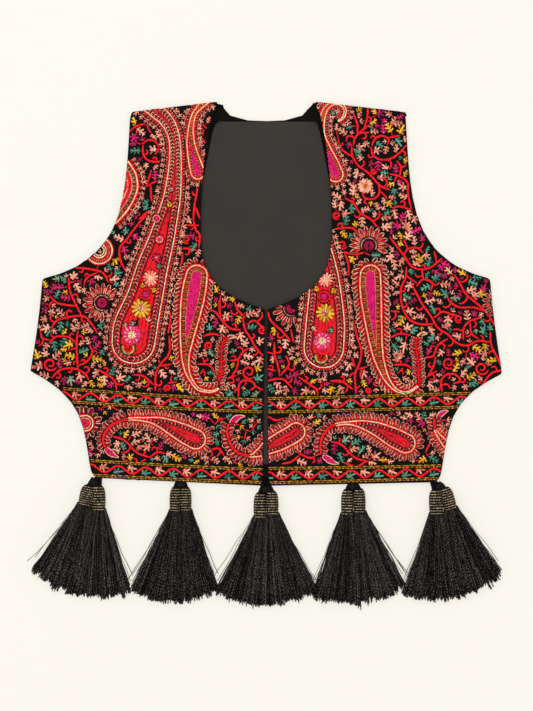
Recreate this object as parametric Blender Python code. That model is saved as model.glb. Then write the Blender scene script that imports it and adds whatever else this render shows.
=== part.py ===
# A cropped, sleeveless folk-dress vest with a deep scooped neck, laid flat and face up on a
# table: one back panel with its lining, two fronts that meet at the centre, and five pairs of
# black tassels on the hem. +X is the wearer's left, +Y runs to the shoulders, +Z is up from
# the table. The origin is the middle of the whole outline, at table height.
# All driving sizes below are millimetres; MM turns them into Blender's metres.

import math

import bmesh
import bpy

MM = 0.001

# Cut of the garment, as half-outlines for the +X side. A curve is a cubic Bezier.
NECK_POINT = (48.0, 250.0)
SHOULDER_TIP = (137.5, 239.5)
ARMHOLE_PULLS = ((142.8, 151.0), (140.5, 93.0))
UNDERARM = (223.5, 73.3)
SIDE_SEAM_PULLS = ((226.0, 38.0), (231.0, 6.0))
NOTCH_PULLS = ((178.0, -49.0), (183.5, -74.0))
NECK_MIDDLE = (65.3, 115.0)
NECK_DROP_PULLS = ((58.5, 234.0), (66.0, 172.0))
NECK_SCOOP_PULLS = ((65.8, 63.0), (34.0, 54.5))
BACK_NECK_PULLS = ((34.8, 229.2), (26.6, 232.0))
BACK_NECK_MIDDLE = (0.0, 230.7)
CENTRE_TOP_Y = 42.5
CENTRE_HEM_Y = -133.5
CURVE_DETAIL = 60

# What differs between the two sides: how far out the shoulder and armhole lie, the point at
# the side, the hem's corner, and the centre edges, which part a little towards the hem.
SIDES = {
    "right": {
        "sign": -1, "shoulder_out": -1.8, "wing_tip": (235.5, -19.0),
        "hem_corner": (174.0, -125.5), "centre_top_x": 1.1, "centre_hem_x": 3.9,
    },
    "left": {
        "sign": 1, "shoulder_out": 1.4, "wing_tip": (235.5, -22.0),
        "hem_corner": (173.0, -130.0), "centre_top_x": 0.7, "centre_hem_x": 2.0,
    },
}

# Cloth, from the table up.
SEAM_GAP = 0.3
BACK_THICKNESS = 2.0
LINING_THICKNESS = 1.0
FRONT_THICKNESS = 2.0
EDGE_ROUNDING = 0.5
LINING_UNDER = BACK_THICKNESS + SEAM_GAP
FRONT_SEAM_UNDER = BACK_THICKNESS + SEAM_GAP
FRONT_BODY_UNDER = LINING_UNDER + LINING_THICKNESS + 2 * SEAM_GAP
SEAM_ROLL_WIDTH = 9.0
LOFT_HEIGHT = 2.2
LOFT_REACH = 70.0
LOFT_AT_OPEN_EDGE = 0.4
OPEN_EDGE_REACH = 45.0
STRAP_LIFT = {"height": 1.3, "y": 234.0, "along": 16.0, "across": 16.0}
CREASE_FADE = 30.0

# Soft creases pressed into each front: from, to, half-width and height (+ a ridge, - a trough).
CREASES = (
    {"side": "right", "start": (-150, 128), "end": (-196, 52), "width": 9.0, "height": -0.55},
    {"side": "right", "start": (-118, 30), "end": (-40, -8), "width": 13.0, "height": 0.50},
    {"side": "right", "start": (-176, -34), "end": (-96, -42), "width": 8.0, "height": -0.50},
    {"side": "right", "start": (-84, 206), "end": (-108, 118), "width": 11.0, "height": 0.45},
    {"side": "left", "start": (152, 118), "end": (188, 60), "width": 10.0, "height": -0.50},
    {"side": "left", "start": (40, 4), "end": (128, 26), "width": 12.0, "height": 0.50},
    {"side": "left", "start": (186, -38), "end": (120, -46), "width": 8.0, "height": -0.45},
    {"side": "left", "start": (96, 212), "end": (112, 132), "width": 10.0, "height": 0.40},
)

# The lining's half-outline: it stops short of the shoulders, armholes, sides and hem.
LINING_TOP = (51.5, 230.0)
LINING_EDGE = (LINING_TOP, (65.2, 160.0), (112.0, 104.0), (204.0, 56.0), (214.0, -8.0),
               (168.0, -48.0), (160.0, -112.0))
LINING_SWELL = 0.2

# Tassels: where each cord leaves the hem, the wrapped head's two ends, the fan of its skirt
# as degrees from straight down (towards +X), and the skirt's length.
TASSELS = (
    {"name": "tassel_1a", "hem_x": -171.6, "top": (-177.2, -132.6), "base": (-184.2, -151.9),
     "fan": (-32.6, -14.5), "length": 84.0},
    {"name": "tassel_1b", "hem_x": -167.0, "top": (-167.4, -133.2), "base": (-166.8, -157.0),
     "fan": (-19.2, 16.2), "length": 87.0},
    {"name": "tassel_2a", "hem_x": -87.6, "top": (-91.0, -136.0), "base": (-91.6, -158.0),
     "fan": (-26.0, 5.0), "length": 89.0},
    {"name": "tassel_2b", "hem_x": -83.0, "top": (-79.4, -136.0), "base": (-79.2, -157.4),
     "fan": (3.7, 15.6), "length": 84.0},
    {"name": "tassel_3a", "hem_x": -2.4, "top": (-6.0, -141.0), "base": (-6.5, -164.5),
     "fan": (-26.2, 1.4), "length": 85.5},
    {"name": "tassel_3b", "hem_x": 2.2, "top": (5.8, -139.2), "base": (6.3, -161.2),
     "fan": (-0.2, 26.2), "length": 87.4},
    {"name": "tassel_4a", "hem_x": 84.4, "top": (80.6, -138.8), "base": (80.4, -161.4),
     "fan": (-16.8, 8.6), "length": 87.0},
    {"name": "tassel_4b", "hem_x": 89.0, "top": (92.6, -137.4), "base": (93.2, -159.2),
     "fan": (6.9, 26.8), "length": 86.0},
    {"name": "tassel_5a", "hem_x": 166.6, "top": (167.4, -137.2), "base": (168.0, -161.0),
     "fan": (-15.0, 19.4), "length": 85.0},
    {"name": "tassel_5b", "hem_x": 171.2, "top": (177.8, -136.4), "base": (184.6, -158.0),
     "fan": (15.4, 33.4), "length": 82.0},
)
HEM_HANG_GAP = 0.35
CORD_RADIUS = 1.9
CORD_HEM_Z = 2.4
HEAD_RADIUS = 5.9
HEAD_Z = HEAD_RADIUS + 0.3
HEAD_SIDES = 12
# The wrapped head's turned outline: share of its length, share of its greatest radius.
HEAD_PROFILE = (
    {"along": 0.00, "radius": 0.38},
    {"along": 0.09, "radius": 0.62},
    {"along": 0.22, "radius": 0.82},
    {"along": 0.42, "radius": 0.97},
    {"along": 0.70, "radius": 1.00},
    {"along": 1.00, "radius": 0.97},
)
LOCK_COLUMNS = 8
LOCK_SINK = 2.0
LOCK_FILL = 0.86
# Three layers of locks: height at the head and at the tip, half-width of the layer at the
# head, and the lock's thickness at the head and at the tip.
LOCK_LAYERS = (
    {"root_z": HEAD_Z - 3.3, "tip_z": 1.5, "spread": 3.7, "root_thick": 2.6, "tip_thick": 2.1},
    {"root_z": HEAD_Z, "tip_z": 4.0, "spread": 4.7, "root_thick": 2.7, "tip_thick": 2.1},
    {"root_z": HEAD_Z + 3.3, "tip_z": 6.5, "spread": 3.7, "root_thick": 2.6, "tip_thick": 2.1},
)
LOCK_BEND = 0.45
LOCK_SHORTEST = 0.965


# Small plane geometry

def bezier(knots, count):
    points = []
    for step in range(count + 1):
        t = step / count
        a, b, c, d = (1 - t) ** 3, 3 * (1 - t) ** 2 * t, 3 * (1 - t) * t * t, t ** 3
        points.append(tuple(a * p + b * q + c * r + d * s for p, q, r, s in zip(*knots)))
    return points


def along(points, count):
    lengths = [math.dist(p, q) for p, q in zip(points, points[1:])]
    total = sum(lengths)
    spaced = []
    for step in range(count + 1):
        want = total * step / count
        index = 0
        while index < len(lengths) - 1 and want > lengths[index]:
            want -= lengths[index]
            index += 1
        share = min(1.0, want / lengths[index])
        spaced.append(tuple(p + (q - p) * share for p, q in zip(points[index], points[index + 1])))
    return spaced


def joined(*stretches):
    points = list(stretches[0])
    for stretch in stretches[1:]:
        points.extend(stretch[1:])
    return points


def smooth(value):
    value = max(0.0, min(1.0, value))
    return value * value * (3 - 2 * value)


def segment_distance(point, start, end):
    run = (end[0] - start[0], end[1] - start[1])
    reach = run[0] ** 2 + run[1] ** 2
    share = ((point[0] - start[0]) * run[0] + (point[1] - start[1]) * run[1]) / reach
    share = max(0.0, min(1.0, share))
    return math.dist(point, (start[0] + run[0] * share, start[1] + run[1] * share))


def distance_to(point, line):
    return min(segment_distance(point, p, q) for p, q in zip(line, line[1:]))


# Outlines of the two halves


def mirrored(points, sign):
    return [(sign * x, y) for x, y in points]


def moved_out(point, side):
    return (point[0] + SIDES[side]["shoulder_out"], point[1])


def outer_edge(side, armhole_rows, side_rows, notch_rows):
    cut = SIDES[side]
    armhole = (*(moved_out(point, side) for point in (SHOULDER_TIP, *ARMHOLE_PULLS)), UNDERARM)
    side_seam = (UNDERARM, *SIDE_SEAM_PULLS, cut["wing_tip"])
    notch = (cut["wing_tip"], *NOTCH_PULLS, cut["hem_corner"])
    edge = joined(
        along(bezier(armhole, CURVE_DETAIL), armhole_rows),
        along(bezier(side_seam, CURVE_DETAIL), side_rows),
        along(bezier(notch, CURVE_DETAIL), notch_rows),
    )
    return mirrored(edge, cut["sign"])


def inner_edge(side, drop_rows, scoop_rows, centre_rows):
    cut = SIDES[side]
    centre_top = (cut["centre_top_x"], CENTRE_TOP_Y)
    centre_hem = (cut["centre_hem_x"], CENTRE_HEM_Y)
    edge = joined(
        along(bezier((NECK_POINT, *NECK_DROP_PULLS, NECK_MIDDLE), CURVE_DETAIL), drop_rows),
        along(bezier((NECK_MIDDLE, *NECK_SCOOP_PULLS, centre_top), CURVE_DETAIL), scoop_rows),
        along([centre_top, centre_hem], centre_rows),
    )
    return mirrored(edge, cut["sign"])


def hem_y(x):
    corner = SIDES["left" if x > 0 else "right"]["hem_corner"]
    share = min(1.0, abs(x) / corner[0])
    return CENTRE_HEM_Y + (corner[1] - CENTRE_HEM_Y) * share


# Heights of the cloth

class FrontHeight:
    # How high a front's underside lies: down on the back at its seams, lofted between them.

    def __init__(self, side):
        outer = outer_edge(side, 24, 8, 20)
        inner = inner_edge(side, 16, 12, 2)
        self.closed_edge = [inner[0], *outer, inner[-1]]
        self.open_edge = inner
        self.creases = [crease for crease in CREASES if crease["side"] == side]

    def __call__(self, point):
        from_closed = distance_to(point, self.closed_edge)
        from_open = distance_to(point, self.open_edge)
        height = FRONT_SEAM_UNDER
        height += (FRONT_BODY_UNDER - FRONT_SEAM_UNDER) * smooth(from_closed / SEAM_ROLL_WIDTH)
        openness = LOFT_AT_OPEN_EDGE + (1 - LOFT_AT_OPEN_EDGE) * smooth(from_open / OPEN_EDGE_REACH)
        height += LOFT_HEIGHT * openness * smooth(from_closed / LOFT_REACH)
        lift = STRAP_LIFT
        height += (
            lift["height"]
            * smooth(from_closed / SEAM_ROLL_WIDTH)
            * math.exp(-(((point[1] - lift["y"]) / lift["along"]) ** 2))
            * math.exp(-((from_open / lift["across"]) ** 2))
        )
        fade = smooth(from_closed / CREASE_FADE)
        for crease in self.creases:
            away = segment_distance(point, crease["start"], crease["end"]) / crease["width"]
            height += crease["height"] * fade * math.exp(-away * away)
        return height


def lining_height(point):
    swell = math.sin(point[0] / 23.0 + 0.6) * math.sin(point[1] / 31.0)
    return LINING_UNDER + LINING_SWELL * 0.5 * (1 + swell)


# Walls of cloth

def coons_grid(top, bottom, outer, inner):
    # Blends four edge lines into a grid of plane points, row by row from the top.
    rows, columns = len(outer) - 1, len(top) - 1
    grid = []
    for j in range(rows + 1):
        v = j / rows
        line = []
        for i in range(columns + 1):
            u = i / columns
            line.append(tuple(
                (1 - v) * top[i][k] + v * bottom[i][k]
                + (1 - u) * outer[j][k] + u * inner[j][k]
                - (1 - u) * (1 - v) * top[0][k] - u * (1 - v) * top[-1][k]
                - (1 - u) * v * bottom[0][k] - u * v * bottom[-1][k]
                for k in range(2)
            ))
        grid.append(line)
    return grid


def ruled_grid(outer, inner, shares):
    return [
        [tuple(a + (b - a) * share for a, b in zip(p, q)) for share in shares]
        for p, q in zip(outer, inner)
    ]


def cloth_wall(name, grid, under, thickness, material):
    # Lays a plane grid at its underside's height, thickens it upwards and rounds its rim.
    columns, rows = len(grid[0]), len(grid)
    mesh = bmesh.new()
    bmesh.ops.create_grid(mesh, x_segments=columns - 1, y_segments=rows - 1, size=1)
    mesh.verts.ensure_lookup_table()
    for index, vertex in enumerate(mesh.verts):
        x, y = grid[rows - 1 - index // columns][index % columns]
        vertex.co = (x * MM, y * MM, (under((x, y)) + thickness) * MM)
    bmesh.ops.recalc_face_normals(mesh, faces=mesh.faces)
    if sum(face.normal.z for face in mesh.faces) < 0:
        bmesh.ops.reverse_faces(mesh, faces=mesh.faces)
    panel = bpy.data.meshes.new(name)
    mesh.to_mesh(panel)
    mesh.free()
    obj = bpy.data.objects.new(name, panel)
    bpy.context.scene.collection.objects.link(obj)
    obj.data.materials.append(material)
    solid = obj.modifiers.new("thickness", "SOLIDIFY")
    solid.thickness = thickness * MM
    solid.offset = -1.0
    rim = obj.modifiers.new("rounded rim", "BEVEL")
    rim.width = EDGE_ROUNDING * MM
    rim.segments = 1
    rim.limit_method = "ANGLE"
    rim.angle_limit = math.radians(60)
    return obj


def make_front(side, material):
    outer = outer_edge(side, 12, 6, 10)
    inner = inner_edge(side, 9, 6, 13)
    shares = (0.0, 0.05, 0.15, 0.3, 0.45, 0.6, 0.75, 0.88, 0.96, 1.0)
    grid = ruled_grid(outer, inner, shares)
    cloth_wall(side + "_front", grid, FrontHeight(side), FRONT_THICKNESS, material)


def make_back(material):
    right = outer_edge("right", 10, 4, 8)
    left = outer_edge("left", 10, 4, 8)
    neck = bezier((NECK_POINT, *BACK_NECK_PULLS, BACK_NECK_MIDDLE), CURVE_DETAIL)
    half_tops = {
        side: joined(along([moved_out(SHOULDER_TIP, side), NECK_POINT], 4), along(neck, 3))
        for side in SIDES
    }
    top = joined(mirrored(half_tops["right"], -1), list(reversed(half_tops["left"])))
    middle = (0.0, CENTRE_HEM_Y)
    bottom = joined(along([right[-1], middle], 7), along([middle, left[-1]], 7))
    grid = coons_grid(top, bottom, right, left)
    cloth_wall("back", grid, lambda point: 0.0, BACK_THICKNESS, material)


def make_lining(material):
    edge = joined(*(along([p, q], 3) for p, q in zip(LINING_EDGE, LINING_EDGE[1:])))
    right, left = mirrored(edge, -1), edge
    grid = ruled_grid(right, left, [step / 8 for step in range(9)])
    cloth_wall("back_lining", grid, lining_height, LINING_THICKNESS, material)


# Tassels

def loft(mesh, rings):
    # Skins one ring of points after another and closes both ends.
    loops = []
    for ring in rings:
        loops.append([mesh.verts.new([value * MM for value in point]) for point in ring])
    count = len(loops[0])
    for near, far in zip(loops, loops[1:]):
        for k in range(count):
            mesh.faces.new((near[k], near[(k + 1) % count], far[(k + 1) % count], far[k]))
    mesh.faces.new(list(reversed(loops[0])))
    mesh.faces.new(loops[-1])


def round_ring(centre, across, radius):
    # A round ring that stands upright, its flat axis pointing across the tassel.
    points = []
    for k in range(HEAD_SIDES):
        angle = 2 * math.pi * (k + 0.5) / HEAD_SIDES
        side, rise = radius * math.cos(angle), radius * math.sin(angle)
        points.append((centre[0] + across[0] * side, centre[1] + across[1] * side, centre[2] + rise))
    return points


def lock_ring(centre, across, width, thickness):
    corners = ((-0.5, -0.5), (0.5, -0.5), (0.5, 0.5), (-0.5, 0.5))
    return [
        (
            centre[0] + across[0] * width * side,
            centre[1] + across[1] * width * side,
            centre[2] + thickness * rise,
        )
        for side, rise in corners
    ]


def mesh_object(name, mesh, material):
    bmesh.ops.recalc_face_normals(mesh, faces=mesh.faces)
    data = bpy.data.meshes.new(name)
    mesh.to_mesh(data)
    mesh.free()
    obj = bpy.data.objects.new(name, data)
    bpy.context.scene.collection.objects.link(obj)
    data.materials.append(material)
    return obj


def head_object(row, material):
    # The hanging cord and the wrapped head, as one turned form bent along their line.
    top, base = row["top"], row["base"]
    length = math.dist(top, base)
    down = ((base[0] - top[0]) / length, (base[1] - top[1]) / length)
    across = (-down[1], down[0])
    cord_start = (row["hem_x"], hem_y(row["hem_x"]) - HEM_HANG_GAP, CORD_HEM_Z)
    rings = [round_ring(cord_start, (1.0, 0.0), CORD_RADIUS)]
    for station in HEAD_PROFILE:
        reach = length * station["along"]
        centre = (top[0] + down[0] * reach, top[1] + down[1] * reach, HEAD_Z)
        rings.append(round_ring(centre, across, HEAD_RADIUS * station["radius"]))
    mesh = bmesh.new()
    loft(mesh, rings)
    return mesh_object(row["name"], mesh, material)


def locks_object(row, material):
    # The skirt: locks in three layers that start inside the head and fan out over the table.
    top, base = row["top"], row["base"]
    length = math.dist(top, base)
    down = ((base[0] - top[0]) / length, (base[1] - top[1]) / length)
    across = (-down[1], down[0])
    first, last = (math.radians(angle) for angle in row["fan"])
    mesh = bmesh.new()
    for layer_index, layer in enumerate(LOCK_LAYERS):
        for column in range(LOCK_COLUMNS):
            middle = (column + 0.5) / LOCK_COLUMNS
            angle = first + (last - first) * middle
            aim = (math.sin(angle), -math.cos(angle))
            uneven = ((column * 5 + layer_index * 3 + 1) % 4) / 3
            reach = row["length"] * (LOCK_SHORTEST + (1 - LOCK_SHORTEST) * uneven)
            rings = []
            for share in (0.0, LOCK_BEND, 1.0):
                offset = layer["spread"] * (2 * middle - 1)
                root = (base[0] + across[0] * offset, base[1] + across[1] * offset)
                root = (root[0] - down[0] * LOCK_SINK, root[1] - down[1] * LOCK_SINK)
                run = (reach + LOCK_SINK) * share
                centre = (
                    root[0] + aim[0] * run,
                    root[1] + aim[1] * run,
                    layer["root_z"] + (layer["tip_z"] - layer["root_z"]) * smooth(share ** 0.7),
                )
                pitch = (2 * layer["spread"] + (last - first) * run) / LOCK_COLUMNS
                thick = layer["root_thick"] + (layer["tip_thick"] - layer["root_thick"]) * share
                side_way = (math.cos(angle), math.sin(angle))
                rings.append(lock_ring(centre, side_way, pitch * LOCK_FILL, thick))
            loft(mesh, rings)
    return mesh_object(row["name"] + "_locks", mesh, material)


def make_tassel(row, material):
    head = head_object(row, material)
    locks = locks_object(row, material)
    locks.hide_render = True
    locks.display_type = "WIRE"
    join = head.modifiers.new("locks rooted in the head", "BOOLEAN")
    join.operation = "UNION"
    join.solver = "EXACT"
    join.object = locks


# Materials, as plain finishes

def finish(name, colour, roughness):
    material = bpy.data.materials.new(name)
    material.use_nodes = True
    shader = material.node_tree.nodes["Principled BSDF"]
    shader.inputs["Base Color"].default_value = (*colour, 1.0)
    shader.inputs["Roughness"].default_value = roughness
    shader.inputs["Metallic"].default_value = 0.0
    return material


def main():
    for obj in list(bpy.data.objects):
        bpy.data.objects.remove(obj)
    ground = finish("black embroidered wool", (0.22, 0.03, 0.03), 0.85)
    plain = finish("black wool", (0.008, 0.006, 0.005), 0.85)
    lining = finish("charcoal lining", (0.042, 0.037, 0.032), 0.6)
    thread = finish("black tassel thread", (0.015, 0.013, 0.012), 0.5)
    make_back(plain)
    make_lining(lining)
    for side in SIDES:
        make_front(side, ground)
    for row in TASSELS:
        make_tassel(row, thread)


main()
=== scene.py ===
import math

import bmesh
import bpy
import numpy as np
from mathutils import Matrix, Vector
from mathutils.bvhtree import BVHTree


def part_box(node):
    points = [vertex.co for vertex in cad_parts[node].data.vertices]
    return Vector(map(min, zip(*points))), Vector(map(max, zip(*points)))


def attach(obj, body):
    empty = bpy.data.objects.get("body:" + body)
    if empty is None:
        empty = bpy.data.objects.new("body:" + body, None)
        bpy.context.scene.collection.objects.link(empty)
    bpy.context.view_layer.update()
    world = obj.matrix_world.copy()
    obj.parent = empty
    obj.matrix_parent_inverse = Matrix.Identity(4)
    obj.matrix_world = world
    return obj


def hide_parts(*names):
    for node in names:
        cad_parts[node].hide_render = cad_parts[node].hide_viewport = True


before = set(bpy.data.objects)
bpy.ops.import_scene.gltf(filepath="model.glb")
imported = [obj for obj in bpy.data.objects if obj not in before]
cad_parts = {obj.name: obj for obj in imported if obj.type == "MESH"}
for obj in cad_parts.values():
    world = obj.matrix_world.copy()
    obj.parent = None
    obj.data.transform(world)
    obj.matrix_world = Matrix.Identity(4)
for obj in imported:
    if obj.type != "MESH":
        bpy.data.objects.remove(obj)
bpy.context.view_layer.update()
rng = np.random.default_rng(11)

# The stitching chart is measured in mm to the right of and below its top left corner.
# This is where the frame's origin lies on it.
chartOrigin = (266.25, 352.0)
mm = 0.001


def toFrame(x, y):
    return (x - chartOrigin[0]) * mm, (chartOrigin[1] - y) * mm


def toChart(x, y):
    return x / mm + chartOrigin[0], chartOrigin[1] - y / mm


# Objects, colours and nodes

def addObject(name, data):
    thing = bpy.data.objects.new(name, data)
    bpy.context.scene.collection.objects.link(thing)
    return thing


# turns a worked-out shape into a scene object with its finishes
def fromShape(name, bm, *finishes):
    mesh = bpy.data.meshes.new(name)
    bm.to_mesh(mesh)
    bm.free()
    for finish in finishes:
        mesh.materials.append(finish)
    return addObject(name, mesh)


# a colour's six digits as the linear numbers that Blender takes
def linear(hexColour):
    parts = [int(hexColour[i:i + 2], 16) / 255 for i in (1, 3, 5)]
    return [c / 12.92 if c <= 0.04045 else ((c + 0.055) / 1.055) ** 2.4 for c in parts] + [1]


# adds a node, gives it its settings, and fills each input with a value or a link
def addNode(tree, kind, settings={}, inputs={}):
    node = tree.nodes.new(kind)
    for name, value in settings.items():
        setattr(node, name, value)
    for name, value in inputs.items():
        if isinstance(value, bpy.types.NodeSocket):
            tree.links.new(value, node.inputs[name])
        else:
            node.inputs[name].default_value = value
    return node


def newMaterial(name):
    material = bpy.data.materials.new(name)
    material.use_nodes = True
    material.node_tree.nodes.clear()
    return material, material.node_tree


def stripes(period):
    return 0.314 / period        # a wave texture's scale for bands this far apart


# Woven cloth: two crossing sets of ridges for the yarns, a soft mottle, and a matt surface.
def wovenCloth(name, look):
    material, tree = newMaterial(name)
    place = addNode(tree, "ShaderNodeTexCoord").outputs["Object"]
    mottle = addNode(tree, "ShaderNodeTexNoise", {}, {
        "Vector": place, "Scale": 1 / look["mottle"], "Detail": 4, "Roughness": 0.6})
    nap = addNode(tree, "ShaderNodeTexNoise", {}, {
        "Vector": place, "Scale": 1 / look["nap"], "Detail": 2})
    warp, weft = [addNode(tree, "ShaderNodeTexWave", {"bands_direction": way}, {
        "Vector": place, "Scale": stripes(look["yarn"]), "Distortion": 1.5, "Detail": 1,
        "Detail Scale": 2}) for way in (look["warp"], "Y")]
    weave = addNode(tree, "ShaderNodeMath", {"operation": "MULTIPLY"}, {
        0: warp.outputs["Fac"], 1: weft.outputs["Fac"]})
    blend = addNode(tree, "ShaderNodeMath", {"operation": "MULTIPLY_ADD"}, {
        0: mottle.outputs["Fac"], 1: 0.7, 2: weave.outputs[0]})
    colour = addNode(tree, "ShaderNodeMixRGB", {}, {
        "Fac": blend.outputs[0], "Color1": linear(look["dark"]), "Color2": linear(look["light"])})
    height = addNode(tree, "ShaderNodeMath", {"operation": "MULTIPLY_ADD"}, {
        0: nap.outputs["Fac"], 1: 0.5, 2: weave.outputs[0]})
    bump = addNode(tree, "ShaderNodeBump", {}, {
        "Height": height.outputs[0], "Strength": look["relief"], "Distance": look["yarn"] / 3})
    shader = addNode(tree, "ShaderNodeBsdfPrincipled", {}, {
        "Base Color": colour.outputs[0], "Roughness": look["roughness"], "Normal": bump.outputs[0],
        "Sheen Weight": look["sheen"], "Sheen Roughness": 0.5, "Specular IOR Level": look["specular"]})
    addNode(tree, "ShaderNodeOutputMaterial", {}, {"Surface": shader.outputs[0]})
    return material


# Spun thread: two plies twisted round each other, each stitch a little lighter or darker. The plies' light
# and dark bands and the flecks along the thread are painted highlight and painted shade of the twist, mixed
# into its colour.
def spunThread(name, dark, light, look):
    material, tree = newMaterial(name)
    along = addNode(tree, "ShaderNodeUVMap", {"uv_map": "thread"})
    turned = addNode(tree, "ShaderNodeMapping", {}, {
        "Vector": along.outputs[0], "Rotation": (0, 0, math.radians(look["twist"]))})
    plies = addNode(tree, "ShaderNodeTexWave", {}, {
        "Vector": turned.outputs[0], "Scale": stripes(look["ply"]), "Distortion": look["uneven"],
        "Detail Scale": 2.5})
    tone = addNode(tree, "ShaderNodeAttribute", {"attribute_name": "tone"})
    glints = addNode(tree, "ShaderNodeTexNoise", {}, {
        "Vector": along.outputs[0], "Scale": 1 / look["glintSize"]})
    # painted glints along the thread, added to each stitch's own random tone
    glintsAndTone = addNode(tree, "ShaderNodeMath", {"operation": "MULTIPLY_ADD"}, {
        0: glints.outputs["Fac"], 1: look["glintStrength"], 2: tone.outputs["Fac"]})
    # painted highlight on the plies' crests and painted shade in the grooves between them
    shade = addNode(tree, "ShaderNodeMath", {"operation": "MULTIPLY_ADD", "use_clamp": True}, {
        0: plies.outputs["Fac"], 1: look["plyPaintedLight"], 2: glintsAndTone.outputs[0]})
    colour = addNode(tree, "ShaderNodeMixRGB", {}, {
        "Fac": shade.outputs[0], "Color1": linear(dark), "Color2": linear(light)})
    bump = addNode(tree, "ShaderNodeBump", {}, {
        "Height": plies.outputs["Fac"], "Strength": 0.5, "Distance": look["ply"] * mm / 3})
    shader = addNode(tree, "ShaderNodeBsdfPrincipled", {}, {
        "Base Color": colour.outputs[0], "Roughness": look["roughness"], "Normal": bump.outputs[0],
        "Sheen Weight": look["sheen"], "Sheen Roughness": 0.4, "Specular IOR Level": look["specular"]})
    addNode(tree, "ShaderNodeOutputMaterial", {}, {"Surface": shader.outputs[0]})
    return material


# The cloth

# The size of each cut piece, its area and thickness, the cuts made in the solid's edges, how far its
# corners are rounded, its finish's slot and what it lies on.
clothPieces = {
    "back": {"flat": (0.474, 0.385), "area": 0.136, "thick": 0.0020, "fine": 3, "corner": 0.006,
             "slot": "black_wool", "restsOn": []},
    "back_lining": {"flat": (0.43, 0.342), "area": 0.096, "thick": 0.0012, "fine": 3, "corner": 0.008,
                    "slot": "lining_sateen", "restsOn": ["back"]},
    "right_front": {"flat": (0.236, 0.385), "area": 0.057, "thick": 0.0020, "fine": 4, "corner": 0.006,
                    "slot": "embroidered_wool", "restsOn": ["back", "back_lining"]},
    "left_front": {"flat": (0.236, 0.385), "area": 0.057, "thick": 0.0020, "fine": 4, "corner": 0.006,
                   "slot": "embroidered_wool", "restsOn": ["back", "back_lining"]},
}
clothMake = {
    "samePoint": 0.02 * mm,     # points of the solid that lie closer are one point
    "onePoint": 0.8 * mm,       # and so are those along its edge that lie closer than this
    "sharpest": 35,             # degrees that an edge may turn before it is a corner
    "rounds": 12, "neckRounds": 3, "neckHalf": 0.06,    # the neckline's points stay crisper
    "insideReach": 1.6,         # rounding reaches this much further inside than along the edge
    "rim": 0.35, "rimAngle": 50,        # the turned edge's share of the thickness, and its least angle
}

# Wool: a plain weave of woollen yarn, brushed, so it is nearly black, matt and a little furry.
# Its yarns are drawn 0.9 mm apart, coarser than the real half millimetre, so that they show.
blackWool = wovenCloth("brushed_black_wool", {
    "dark": "#040302", "light": "#0e0907", "mottle": 0.009, "nap": 0.0007, "yarn": 0.0009, "warp": "X",
    "relief": 0.5, "roughness": 0.95, "sheen": 0.02, "specular": 0.12})
# Cotton sateen: long floats give a smooth face with a soft sheen and a fine diagonal grain.
liningSateen = wovenCloth("charcoal_cotton_sateen", {
    "dark": "#19140f", "light": "#28211a", "mottle": 0.03, "nap": 0.0005, "yarn": 0.0007,
    "warp": "DIAGONAL", "relief": 0.25, "roughness": 0.6, "sheen": 0.03, "specular": 0.25})
clothFinish = {"back": blackWool, "back_lining": liningSateen, "right_front": blackWool,
               "left_front": blackWool}
fieldPitch = 1.5 * mm      # spacing of the points at which a cloth's height is kept
fieldMargin = 4            # points kept past the cloth's edge
fieldRounds = 10           # times that each height is averaged with its neighbours


def shifted(grid, down, right):
    return np.roll(np.roll(grid, down, 0), right, 1)


# the height of a CAD piece's upper side on an even grid, its facets smoothed out
def heightField(node):
    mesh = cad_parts[node].data
    tree = BVHTree.FromPolygons([v.co for v in mesh.vertices], [p.vertices for p in mesh.polygons])
    low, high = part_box(node)
    before, past = fieldMargin * fieldPitch, (fieldMargin + 1) * fieldPitch
    xs = np.arange(low.x - before, high.x + past, fieldPitch)
    ys = np.arange(low.y - before, high.y + past, fieldPitch)
    down = Vector((0, 0, -1))
    hits = [[tree.ray_cast(Vector((x, y, 1)), down)[0] for x in xs] for y in ys]
    found = np.array([[0 if h is None else 1 for h in row] for row in hits], float)
    heights = np.array([[0 if h is None else h.z for h in row] for row in hits])
    near = [(0, 0, 4), (1, 0, 1), (-1, 0, 1), (0, 1, 1), (0, -1, 1)]
    for turn in range(fieldRounds):
        heights = sum(w * shifted(heights, a, b) for a, b, w in near) / 8
        found = sum(w * shifted(found, a, b) for a, b, w in near) / 8
    known = found > 1e-6
    return {"x": xs[0], "y": ys[0], "z": np.where(known, heights / np.maximum(found, 1e-6), high.z)}


# the smooth height at some places
def heightAt(field, x, y):
    z = field["z"]
    u = np.clip((np.asarray(x) - field["x"]) / fieldPitch, 0, z.shape[1] - 1.001)
    v = np.clip((np.asarray(y) - field["y"]) / fieldPitch, 0, z.shape[0] - 1.001)
    i, j = u.astype(int), v.astype(int)
    u, v = u - i, v - j
    return ((z[j, i] * (1 - u) + z[j, i + 1] * u) * (1 - v)
            + (z[j + 1, i] * (1 - u) + z[j + 1, i + 1] * u) * v)


# every piece rides on the one body, and may stand for nodes of the solid, which are then hidden
def fitPiece(piece, nodes):
    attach(piece, "root")
    if nodes:
        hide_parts(*nodes)


# places where the edge turns sharply
def findCorners(bm):
    limit = -math.cos(math.radians(clothMake["sharpest"]))
    corners = []
    for v in bm.verts:
        ways = [(e.other_vert(v).co - v.co).normalized() for e in v.link_edges if e.is_boundary]
        if len(ways) == 2 and ways[0].dot(ways[1]) > limit:
            corners.append(v.co.copy())
    return corners


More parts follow.
